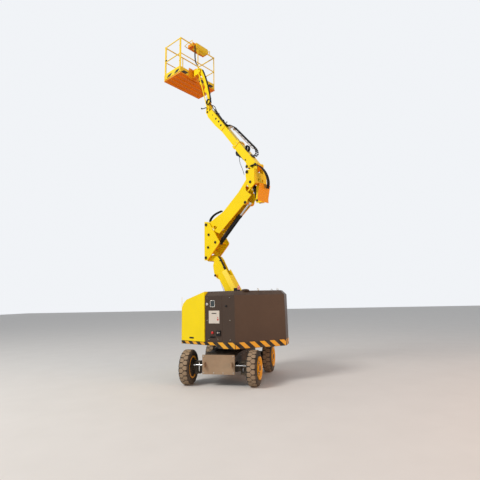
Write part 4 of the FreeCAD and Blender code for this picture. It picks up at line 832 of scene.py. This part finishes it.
# Lamp, horn and lifting eyes on the tail
LAMP = (-0.6, 0.38)
lamp = Piece("lamp_base", "turntable", "pin_black")
lamp.lathe((LAMP[0], LAMP[1], HOOD_HIGH), (0, 0, 1), ((0, 0.042), (0.02, 0.042), (0.03, 0.034)), 28)
lamp.box((LAMP[0] + 0.06, LAMP[0] + 0.13), (LAMP[1] - 0.02, LAMP[1] + 0.02), (HOOD_HIGH, HOOD_HIGH + 0.07))
lamp.done(bevel=0.003)
lamp = Piece("lamp_lens", "turntable", "lens")
lamp.lathe((LAMP[0], LAMP[1], HOOD_HIGH + 0.03), (0, 0, 1),
           ((0, 0.033), (0.05, 0.031), (0.075, 0.026), (0.09, 0.014), (0.094, 0.003)), 28)
lamp.done(slot="pin_black")
cowl = Piece("tail_cowl", "turntable", "cover_grey")
cowl.lathe((-0.85, 0.45, HOOD_HIGH), (0, 0, 1), ((0, 0.088), (0.012, 0.086), (0.026, 0.07), (0.034, 0.04),
                                                 (0.036, 0.008)), 36)
cowl.done()
for number, (x, y) in enumerate(((-1.0, 0.2), (-1.05, -0.45), (-0.62, -0.8))):
    eye = Piece("tail_lifting_eye_%d" % number, "turntable", "zinc")
    ring_line = []
    for step in range(13):
        angle = math.pi * 2 * step / 12
        ring_line.append((x + math.cos(angle) * 0.02, y, HOOD_HIGH + 0.026 + math.sin(angle) * 0.02))
    eye.tube(ring_line, 0.006, sides=8, steps=2)
    eye.disc((x, y, HOOD_HIGH), (0, 0, 1), 0.02, 0.006)
    eye.done(slot="rod_chrome")

# Pins, seen from the boom's sides

PINS = (
    # name, body, x, z, half width of what the pin ends in, radius
    ("root", "turntable", ROOT, 0.178, 0.036),
    ("root_link", "turntable", plus(ROOT, LOW_LINK), 0.178, 0.03),
    ("lift_foot", "turntable", LIFT_FOOT, 0.178, 0.03),
    ("lift_lug", "lower_boom_body", LIFT_LUG, 0.15, 0.03),
    ("knee", "knuckle_body", KNEE, 0.192, 0.038),
    ("knee_link", "knuckle_body", plus(KNEE, LOW_LINK), 0.192, 0.032),
    ("crook", "knuckle_body", CROOK, 0.192, 0.038),
    ("crook_link", "knuckle_body", plus(CROOK, HIGH_LINK), 0.192, 0.032),
    ("apex", "knuckle_body", APEX, 0.192, 0.032),
    ("ear", "riser_body", EAR, 0.143, 0.036),
    ("head", "head_body", HEAD, 0.242, 0.038),
    ("head_link", "head_body", plus(HEAD, HIGH_LINK), 0.24, 0.032),
    ("main", "head_body", MAIN, 0.135, 0.036),
    ("main_foot", "head_body", MAIN_FOOT, 0.062, 0.03),
    ("tip", "main_inner_body", TIP, 0.075, 0.026),
    ("jib", "jib_base_body", JIB, 0.07, 0.016),
    ("jib_end", "jib_end_body", JIB_END, 0.07, 0.016),
)
for pin_name, body, (x, z), half, radius in PINS:
    pin = Piece("pin_" + pin_name, body, "pin_black")
    for side in (-1, 1):
        pin.disc((x, half * side, z), (0, side, 0), radius, 0.008)
        pin.box((x - radius * 0.9, x + radius * 0.9), tuple(sorted(((half + 0.008) * side, (half + 0.012) * side))),
                (z - radius * 0.28, z + radius * 0.28))
        for offset in (-0.6, 0.6):
            pin.bolt((x + radius * offset, (half + 0.012) * side, z), (0, side, 0), radius * 0.2)
    pin.done(bevel=0.001)

pin = Piece("pin_main_lug", "main_outer_body", "pin_black", UPPER)
for side in (-1, 1):
    pin.disc((MAIN_LUG[0], 0.058 * side, MAIN_LUG[1]), (0, side, 0), 0.034, 0.012)
    pin.disc((MAIN_LUG[0] + 0.125, 0.1 * side, MAIN_AXIS - 0.06), (0, side, 0), 0.018, 0.012)
pin.done(bevel=0.001)

# Main boom: collar bolts, wear pads, chain tray and energy chain

collar = Piece("collar_bolts", "main_outer_body", "zinc", UPPER)
for side in (-1, 1):
    for z in (-0.05, 0.05):
        for x in (-0.065, -0.03):
            collar.bolt((MAIN_MOUTH + x, 0.111 * side, MAIN_AXIS + z), (0, side, 0), 0.008)
for side in (-0.05, 0.05):
    for x in (-0.065, -0.03):
        collar.bolt((MAIN_MOUTH + x, side, MAIN_AXIS + 0.115), (0, 0, 1), 0.008)
        collar.bolt((MAIN_MOUTH + x, side, MAIN_AXIS - 0.115), (0, 0, -1), 0.008)
collar.done(slot="rod_chrome")

pads = Piece("wear_pads", "main_outer_body", "rubber", UPPER)
for side in (-1, 1):
    pads.box((MAIN_MOUTH - 0.02, MAIN_MOUTH + 0.012), tuple(sorted((0.0845 * side, 0.1 * side))),
             (MAIN_AXIS - 0.05, MAIN_AXIS + 0.05))
    pads.box((MAIN_MOUTH - 0.02, MAIN_MOUTH + 0.012), (-0.05, 0.05),
             tuple(sorted((MAIN_AXIS + 0.0845 * side, MAIN_AXIS + 0.1 * side))))
pads.done(bevel=0.002, slot="pin_black")

# tip holes with their rims, as black discs: painted shade of the openings
hole_shade = Piece("boom_tip_hole_shade", "main_inner_body", "pin_black", UPPER)
for side in (-1, 1):
    for x, z, radius in ((2.08, -0.05, 0.03), (1.925, -0.04, 0.03), (1.775, -0.06, 0.03),
                         (1.685, 0.05, 0.022), (1.866, 0.055, 0.022), (2.27, -0.055, 0.016)):
        hole_shade.lathe((x, 0.0965 * side, z), (0, side, 0),
                    ((0, radius), (0.0012, radius), (0.0016, radius - 0.004)), 24)
hole_shade.done()


def chain(name, body, place, path, width, height, gap=0.052):
    """An energy chain: short links along a line, each a hollow frame with bars across."""
    piece = Piece(name, body, "rubber", place)
    line = smooth_line(path, 24)
    lengths = [0.0]
    for a, b in zip(line, line[1:]):
        lengths.append(lengths[-1] + (b - a).length)
    total = lengths[-1]
    links = max(int(total / gap), 2)
    step = total / links
    for index in range(links):
        want = step * (index + 0.5)
        at = 0
        while lengths[at + 1] < want:
            at += 1
        share = (want - lengths[at]) / (lengths[at + 1] - lengths[at])
        point = line[at].lerp(line[at + 1], share)
        tangent = (line[at + 1] - line[at]).normalized()
        across = Vector((0, 1, 0))
        up = tangent.cross(across).normalized()
        half = step * 0.42
        for hand in (-1, 1):
            inner = across * (width / 2 - 0.012) * hand
            outer = across * (width / 2) * hand
            rows = []
            for along, tall in ((-half, 0.30), (-half * 0.6, 0.5), (half * 0.6, 0.5), (half, 0.30)):
                rows.append([point + tangent * along + side + up * height * tall * sign
                             for side, sign in ((inner, -1), (outer, -1), (outer, 1), (inner, 1))])
            piece.faces(rows)
            piece.lathe(point + outer + tangent * half * 0.2, across * hand, ((0, height * 0.2), (0.003, height * 0.2)), 12)
        for sign in (-1, 1):
            bar = up * height * 0.42 * sign
            rows = []
            for along in (-half * 0.35, half * 0.35):
                rows.append([point + tangent * along + bar + across * w + up * h
                             for w, h in ((-width / 2, -0.003), (width / 2, -0.003), (width / 2, 0.003),
                                          (-width / 2, 0.003))])
            piece.faces(rows)
    return piece


TRAY_LINE = ((1.44, 0.150), (0.845, 0.184), (0.40, 0.208))
TRAY_HALF = 0.07
tray = Piece("chain_tray", "main_inner_body", "plate_tan", UPPER)
for side in (-1, 1):
    for (x0, z0), (x1, z1) in zip(TRAY_LINE, TRAY_LINE[1:]):
        tray.slab(((x0, z0 - 0.03), (x1, z1 - 0.03), (x1, z1 - 0.012), (x0, z0 - 0.012)),
                  tuple(sorted((TRAY_HALF * side, (TRAY_HALF + 0.005) * side))))
for y in ((-0.075, -0.07), (0.07, 0.075)):
    tray.slab(((1.44, 0.06), (1.49, 0.06), (1.49, 0.14), (1.40, 0.152), (1.40, 0.13)), y)
for x in (0.45, 0.6, 0.75, 0.9, 1.05, 1.2, 1.35):
    z = 0.150 + (1.44 - x) * 0.057 - 0.028
    tray.box((x - 0.01, x + 0.01), (-0.075, 0.075), (z - 0.002, z + 0.003))
tray.done(bevel=0.001, slot="plate_tan")
links = chain("energy_chain_upper", "main_inner_body", UPPER,
              ((1.43, 0, 0.158), (1.15, 0, 0.176), (0.845, 0, 0.194), (0.55, 0, 0.212), (0.40, 0, 0.214),
               (0.315, 0, 0.19), (0.262, 0, 0.14), (0.28, 0, 0.075)), 0.1, 0.027)
links.done(bevel=0.0, slot="pin_black")
catch = Piece("chain_end_bracket", "main_outer_body", "pin_black", UPPER)
catch.box((0.285, 0.375), (-0.055, 0.055), (0.022, 0.056))
catch.box((0.49, 0.62), (-0.01, 0.085), (0.024, 0.036))
catch.done(bevel=0.003)
loop = Piece("chain_hose_loop", "main_outer_body", "rubber", UPPER)
for y in (0.02, 0.056):
    loop.tube(((0.60, y, 0.044), (0.642, y, 0.075), (0.625, y, 0.118), (0.565, y, 0.121), (0.515, y, 0.08),
               (0.51, y, 0.044)), 0.018)
loop.done(slot="pin_black")
under = Piece("collar_bracket", "main_outer_body", "pin_black", UPPER)
under.slab(((0.83, -0.165), (0.80, -0.235), (0.72, -0.265), (0.60, -0.215), (0.56, -0.165)), (0.03, 0.06))
under.tube(((0.66, 0.045, -0.225), (0.60, 0.045, -0.215), (0.55, 0.045, -0.19), (0.45, 0.05, -0.185)), 0.012)
under.done(bevel=0.002)
slack = Piece("collar_line", "head_body", "rubber")
slack.tube(((-0.60, 0.09, 4.64), (-0.56, 0.10, 4.79), (-0.49, 0.10, 4.96), (-0.45, 0.08, 5.11), (-0.43, 0.06, 5.18)), 0.006)
slack.done(slot="pin_black", blend=("head_body", "main_outer_body", BOOM @ Vector((-0.59, 0, 4.68)),
                                    BOOM @ Vector((-0.45, 0, 5.14))))

# Apron below the head's back plate, behind the ram's bracket; its orange finish is painted shade, the yellow paint as
# it looks in shadow
apron = Piece("head_apron", "head_body", "apron_painted_shade")
apron.slab(((-1.022, 4.31), (-1.142, 4.30), (-1.073, 4.0), (-1.073, 3.9), (-1.079, 3.9), (-1.079, 4.0),
            (-1.15, 4.306), (-1.022, 4.317)), (-0.2, 0.2))
apron.done(bevel=0.001, slot="boom_paint")

# Hoses over the boom's root
HEAD_HOSE = (
    (-0.846, 0.130, 4.780), (-0.940, 0.125, 4.790), (-1.030, 0.115, 4.772),
    (-1.114, 0.100, 4.711), (-1.184, 0.075, 4.622), (-1.230, 0.050, 4.520),
    (-1.248, 0.020, 4.414), (-1.237, -0.010, 4.303), (-1.186, -0.040, 4.201))
for number, shift in enumerate((-0.036, -0.012, 0.012, 0.036)):
    hose = Piece("root_hose_%d" % number, "head_body", "rubber")
    hose.tube([(x, y + shift, z) for x, y, z in HEAD_HOSE], 0.0125, steps=10)
    start = BOOM @ Vector((-1.15, 0, 4.5))
    end = BOOM @ Vector((-0.9, 0, 4.82))
    hose.done(slot="pin_black", blend=("head_body", "main_outer_body", start, end))

# Hoses on the boom tip, which run on to the jib in a loop
hoses = Piece("tip_hoses", "main_inner_body", "rubber", UPPER)
for y in (-0.036, -0.012, 0.012, 0.036):
    hoses.tube(((1.46, y, 0.15), (1.56, y, 0.115), (1.66, y, 0.052), (1.85, y, 0.032), (2.1, y, 0.036),
                (2.3, y, 0.05), (2.43, y, 0.06)), 0.0115)
hoses.done(slot="pin_black")
clamps = Piece("tip_hose_clamps", "main_inner_body", "pin_black", UPPER)
for x, z in ((1.68, 0.046), (1.95, 0.032), (2.25, 0.046)):
    clamps.box((x - 0.014, x + 0.014), (-0.058, 0.058), (0.012, z + 0.018))
    for side in (-0.05, 0.05):
        clamps.bolt((x, side, z + 0.017), (0, 0, 1), 0.006)
clamps.done(bevel=0.002)

TIP_LOOP = ((2.43, 0.06), (2.55, 0.085), (2.66, 0.07), (2.745, 0.0))
for number, y in enumerate((-0.054, 0.054)):
    curl = Piece("tip_loop_%d" % number, "main_inner_body", "rubber", UPPER)
    curl.tube([(x, y, z) for x, z in TIP_LOOP], 0.0105, steps=10)
    start = UPPER @ Vector((2.48, 0, 0.05))
    end = UPPER @ Vector((2.74, 0, 0.0))
    curl.done(slot="pin_black", blend=("main_inner_body", "jib_base_body", start, end))
coil = Piece("jib_hose_coil", "jib_base_body", "rubber", UPPER)
for number in range(3):
    y = 0.1 + 0.014 * number
    radius = 0.064 + 0.004 * number
    ring_line = []
    for step in range(25):
        angle = 2 * math.pi * step / 24
        ring_line.append((2.70 + math.cos(angle) * radius, y, 0.092 + math.sin(angle) * radius))
    coil.tube(ring_line, 0.0085, steps=2)
coil.done(slot="pin_black")
lever = Piece("jib_base_lever", "jib_base_body", "pin_black")
lever.tube(((0.671, 0.0875, 6.854), (0.673, 0.115, 6.854), (0.70, 0.13, 6.851), (0.78, 0.13, 6.858),
            (0.835, 0.13, 6.88)), 0.012)
lever.disc((0.835, 0.115, 6.88), (0, 1, 0), 0.02, 0.03)
lever.done()

# Jib: hoses along its back edge, with clamps
jib_back = ((0.06, 0.062), (0.20, 0.083), (0.36, 0.098), (0.55, 0.106), (0.75, 0.111), (0.96, 0.104),
            (1.14, 0.08), (ARM_LENGTH - 0.04, 0.066))
cable = Piece("jib_cable", "jib_body", "rubber", ARM)
for y in (-0.018, 0.004):
    cable.tube([(x, y, z) for x, z in jib_back], 0.0095)
cable.done(slot="pin_black")
ties = Piece("jib_cable_ties", "jib_body", "pin_black", ARM)
for x, z in jib_back[1:-1]:
    ties.box((x - 0.007, x + 0.007), (-0.034, 0.02), (z - 0.022, z + 0.013))
ties.done(bevel=0.001)

# Cable from the jib's end up to the console, slung under the carrier
CONSOLE_RUN = ((1.03, 8.31), (1.10, 8.40), (1.20, 8.47), (1.27, 8.60), (1.30, 8.80), (1.298, 9.0), (1.30, 9.17))
wire = Piece("console_cable", "platform", "rubber")
for y in (-0.02, 0.004):
    wire.tube([(x, y - 0.03, z) for x, z in CONSOLE_RUN[2:]], 0.010)
wire.done(slot="pin_black")

# Knuckle and lower boom: hoses round the knuckle's crook and along the neck
crook_hose = Piece("crook_hoses", "knuckle_body", "rubber")
for y in (0.09, 0.128):
    crook_hose.tube(((0.56, y, 3.66), (0.515, y, 3.735), (0.42, y, 3.80), (0.30, y, 3.84), (0.14, y, 3.868)), 0.0175)
crook_hose.done(slot="pin_black", blend=("knuckle_body", "riser_body", BOOM @ Vector((0.56, 0, 3.66)),
                                         BOOM @ Vector((0.2, 0, 3.88))))
neck = Piece("neck_hoses", "lower_boom_body", "rubber", LOWER)
for y in (0.05, 0.078):
    neck.tube(((1.29, y, 0.262), (1.38, y, 0.275), (1.5, y, 0.28), (1.62, y, 0.284), (1.70, y, 0.268)), 0.0115)
neck.done(slot="pin_black")
clips = Piece("neck_hose_clips", "lower_boom_body", "pin_black", LOWER)
for x in (1.36, 1.58):
    clips.box((x - 0.012, x + 0.012), (0.034, 0.094), (0.25, 0.296))
clips.done(bevel=0.002)

# Ports and pipes on the rams
RAM_PORTS = (
    # name, body, foot, head, barrel radius, length of the barrel
    ("lift", "lift_barrel", LIFT_FOOT, LIFT_LUG, 0.052, 0.80),
    ("riser", "riser_barrel", APEX, EAR, 0.05, 0.90),
    ("main", "main_barrel", MAIN_FOOT, None, 0.038, 0.60),
)
for ram_name, body, foot, head, radius, length in RAM_PORTS:
    if head is None:
        lug = UPPER @ Vector((MAIN_LUG[0], 0, MAIN_LUG[1]))
        head_point = BOOM.inverted() @ lug
        head = (head_point.x, head_point.z)
    axes = member(foot, pitch_of(foot, head))
    ports = Piece("%s_ram_ports" % ram_name, body, "pin_black", axes)
    ports.lathe((length - 0.055, 0, 0), (1, 0, 0), ((0, radius + 0.001), (0.004, radius + 0.006),
                                                   (0.05, radius + 0.006), (0.053, radius + 0.002)), 32)
    for x in (0.11, length - 0.10):
        ports.box((x - 0.018, x + 0.018), (-0.018, 0.018), (-radius - 0.022, -radius + 0.01))
    ports.tube(((0.11, 0, -radius - 0.014), (0.16, 0, -radius - 0.014), (length - 0.14, 0, -radius - 0.014),
                (length - 0.10, 0, -radius - 0.014)), 0.007, rounded=False)
    ports.done(bevel=0.0015)

# Platform

mesh_floor = Piece("floor_grating", "platform", "floor_steel")
floor_top = FLOOR_Z + 0.03
lift_z = floor_top + 0.0005
CELL = 0.05
CELL_HALF = 0.016
WIRE = 0.002
for i in range(int((BASKET_FAR - BASKET_NEAR - 0.04) / CELL)):
    for j in range(int((BASKET_LEFT - BASKET_RIGHT - 0.04) / CELL)):
        x = BASKET_NEAR + 0.035 + CELL * i
        y = BASKET_RIGHT + 0.045 + CELL * j
        dy = CELL_HALF * (1 if (i + j) % 2 else -1)
        rows = []
        for level, thin in ((lift_z, 0.0), (lift_z + 0.003, 0.0008)):
            half = WIRE - thin
            rows.append([(x - CELL_HALF + half, y - dy, level), (x + CELL_HALF + half, y + dy, level),
                         (x + CELL_HALF - half, y + dy + 0.003, level),
                         (x - CELL_HALF - half, y - dy + 0.003, level)])
        mesh_floor.faces(rows)
mesh_floor.done(slot="floor_steel")

toe_low = FLOOR_Z + 0.031


def toe_strip(name, origin, out, length, body="platform", low=toe_low, high=0.1):
    """A painted strip on a toe board; out is the way it faces, and its x has z above and out behind."""
    y = Vector((out[0], out[1], 0))
    x = Vector((out[1], -out[0], 0))
    place = BOOM @ Matrix(((x.x, y.x, 0, origin[0]), (x.y, y.y, 0, origin[1]), (0, 0, 1, 0), (0, 0, 0, 1)))
    strip = Piece(name, body, "toe_stripes", place)
    strip.box((0.01, length - 0.01), (0.0, 0.0015), (low, low + high))
    strip.done(slot="rail_steel")


TOE_LENGTH = BASKET_LEFT - BASKET_RIGHT - 0.04
TOE_WIDTH = BASKET_FAR - BASKET_NEAR - 0.04
toe_strip("toe_stripe_near", (BASKET_NEAR, BASKET_RIGHT + 0.04), (-1, 0), TOE_LENGTH)
toe_strip("toe_stripe_far", (BASKET_FAR, BASKET_LEFT), (1, 0), TOE_LENGTH)
toe_strip("toe_stripe_end", (BASKET_FAR - 0.02, BASKET_RIGHT), (0, -1), TOE_WIDTH)
toe_strip("toe_stripe_gate", (BASKET_NEAR + 0.07, BASKET_LEFT - 0.0135), (0, 1), BASKET_FAR - BASKET_NEAR - 0.15,
          "gate_body", FLOOR_Z + 0.071, 0.1)

# fixing bolts under the floor
under_floor = Piece("floor_bolts", "platform", "pin_black")
for y in (BASKET_RIGHT + 0.025, -0.2, BASKET_LEFT - 0.025):
    for x in (BASKET_NEAR + 0.2, BASKET_FAR - 0.2):
        under_floor.bolt((x, y, FLOOR_Z), (0, 0, -1), 0.009)
under_floor.done()
latch = Piece("gate_latch", "gate_body", "pin_black")
latch.box((BASKET_FAR - 0.085, BASKET_FAR - 0.045), (BASKET_LEFT - 0.034, BASKET_LEFT), (FLOOR_Z + 0.66, FLOOR_Z + 0.70))
latch.tube(((BASKET_FAR - 0.065, BASKET_LEFT - 0.002, FLOOR_Z + 0.68), (BASKET_FAR - 0.03, BASKET_LEFT + 0.004, FLOOR_Z + 0.68)),
           0.006, rounded=False)
latch.done(bevel=0.002)

# Console: its face, levers and stop button
CONSOLE_NEAR = (BASKET_NEAR + 0.06, RAIL_TOP + 0.15)
CONSOLE_FAR = (BASKET_NEAR + 0.26, RAIL_TOP + 0.05)
CONSOLE_MIDDLE = -0.365
run = Vector((CONSOLE_NEAR[0] - CONSOLE_FAR[0], 0, CONSOLE_NEAR[1] - CONSOLE_FAR[1]))
DESK = run.length
run.normalize()
desk_up = Vector((-run.z, 0, run.x))
if desk_up.z < 0:
    desk_up = -desk_up
across = desk_up.cross(run)
desk_place = BOOM @ Matrix(((run.x, across.x, desk_up.x, CONSOLE_FAR[0]), (0, across.y, 0, CONSOLE_MIDDLE),
                            (run.z, across.z, desk_up.z, CONSOLE_FAR[1]), (0, 0, 0, 1)))
desk = Piece("console_top", "platform", "pin_black", desk_place)
desk.box((0.012, DESK - 0.012), (-0.215, 0.215), (-0.001, 0.003))
desk.done(bevel=0.001)
sticks = Piece("console_sticks", "platform", "rubber", desk_place)
for y in (-0.14, 0.14):
    sticks.lathe((0.11, y, 0.003), (0, 0, 1),
                 ((0, 0.03), (0.012, 0.026), (0.02, 0.012), (0.05, 0.009), (0.052, 0.016), (0.07, 0.017),
                  (0.077, 0.01)), 20)
for y in (-0.06, -0.03, 0.0, 0.03, 0.06):
    for x in (0.06, 0.14):
        sticks.lathe((x, y, 0.003), (0, 0, 1), ((0, 0.008), (0.005, 0.008), (0.02, 0.004)), 12)
sticks.done(slot="pin_black")
stop = Piece("console_stop", "platform", "red", desk_place)
stop.lathe((0.185, 0.0, 0.003), (0, 0, 1),
           ((0, 0.013), (0.012, 0.013), (0.012, 0.024), (0.022, 0.023), (0.028, 0.012)), 24)
stop.done(slot="pin_black")

# Tray that holds the console; its orange floor_steel finish is painted shade of yellow steel
tray = Piece("console_tray", "platform", "floor_steel")
tray.box((1.372, 1.612), (-0.655, -0.03), (9.225, 9.247))
for x in ((1.372, 1.378), (1.606, 1.612)):
    tray.box(x, (-0.655, -0.03), (9.247, 9.32))
for y in ((-0.655, -0.649), (-0.036, -0.03)):
    tray.box((1.378, 1.606), y, (9.247, 9.32))
tray.done(bevel=0.001, slot="rail_steel")

# Guard hoop of thin tube round the console
HOOP = ((1.35, 0.03, 9.19), (1.35, 0.03, 9.31), (1.36, 0.025, 9.345), (1.42, 0.02, 9.35), (1.70, 0.0, 9.35),
        (1.74, -0.04, 9.35), (1.75, -0.30, 9.35), (1.74, -0.66, 9.35), (1.70, -0.70, 9.35), (1.42, -0.70, 9.35),
        (1.36, -0.695, 9.345), (1.35, -0.69, 9.31), (1.35, -0.69, 9.19))
hoop = Piece("console_hoop", "platform", "rail_steel")
hoop.tube(HOOP, 0.0095, sides=12)
hoop.done(slot="rail_steel")

# Stage

floor = bpy.data.meshes.new("floor")
floor.from_pydata([(-60, -60, 0), (60, -60, 0), (60, 60, 0), (-60, 60, 0)], [], [(0, 1, 2, 3)])
floor_object = bpy.data.objects.new("floor", floor)
bpy.context.scene.collection.objects.link(floor_object)
ground = bpy.data.materials.new("floor_finish")
ground.use_nodes = True
tree = ground.node_tree
shader = tree.nodes["Principled BSDF"]
shader.inputs["Roughness"].default_value = 0.9
floor_coords = node(tree, "ShaderNodeTexCoord").outputs["Object"]
mottled = noise(tree, floor_coords, 1.5, 4.0)
tree.links.new(blend_colour(tree, mottled, (0.74, 0.72, 0.69), (0.80, 0.78, 0.75)), shader.inputs["Base Color"])
floor.materials.append(ground)

world = bpy.data.worlds.new("studio")
bpy.context.scene.world = world
world.use_nodes = True
tree = world.node_tree
tree.nodes.clear()
output = node(tree, "ShaderNodeOutputWorld")
seen = node(tree, "ShaderNodeBackground")
seen.inputs["Color"].default_value = (0.88, 0.90, 0.93, 1)
light = node(tree, "ShaderNodeBackground")
light.inputs["Color"].default_value = (0.92, 0.95, 1.0, 1)
light.inputs["Strength"].default_value = 0.46
rays = node(tree, "ShaderNodeLightPath")
either = maths(tree, "MAXIMUM", rays.outputs["Is Camera Ray"], rays.outputs["Is Glossy Ray"])
mix = node(tree, "ShaderNodeMixShader")
tree.links.new(either, mix.inputs[0])
tree.links.new(light.outputs[0], mix.inputs[1])
tree.links.new(seen.outputs[0], mix.inputs[2])
tree.links.new(mix.outputs[0], output.inputs[0])


def lamp_at(name, place, aim, power, size, colour):
    data = bpy.data.lights.new(name, "AREA")
    data.energy = power
    data.size = size
    data.color = colour
    made = bpy.data.objects.new(name, data)
    made.location = place
    direction = Vector(aim) - Vector(place)
    made.rotation_euler = direction.to_track_quat("-Z", "Y").to_euler()
    bpy.context.scene.collection.objects.link(made)


lamp_at("key", (12.0, -9.0, 14.0), (0, 0, 4), 2050, 6.0, (1.0, 0.97, 0.92))
lamp_at("fill", (5.0, 12.0, 2.5), (0, 0, 4.5), 850, 8.0, (1.0, 0.5, 0.24))

# Camera, where the photograph's was

look = Vector((-0.970, -0.242, 0)).normalized()
pitch = math.radians(12.46)
roll = math.radians(1.34)
forward = look * math.cos(pitch) + Vector((0, 0, math.sin(pitch)))
right = Vector((look.y, -look.x, 0))
upward = right.cross(forward)
rolled_right = right * math.cos(roll) - upward * math.sin(roll)
rolled_up = upward * math.cos(roll) + right * math.sin(roll)
camera = bpy.data.cameras.new("camera")
camera.sensor_width = 36.0
camera.lens = 29.1
camera.shift_y = -0.054
camera.clip_end = 200
eye = bpy.data.objects.new("camera", camera)
eye.matrix_world = Matrix(((rolled_right.x, rolled_up.x, -forward.x, 9.02),
                           (rolled_right.y, rolled_up.y, -forward.y, 2.53),
                           (rolled_right.z, rolled_up.z, -forward.z, 1.71),
                           (0, 0, 0, 1)))
bpy.context.scene.collection.objects.link(eye)
bpy.context.scene.camera = eye
bpy.context.scene.view_settings.view_transform = "Standard"
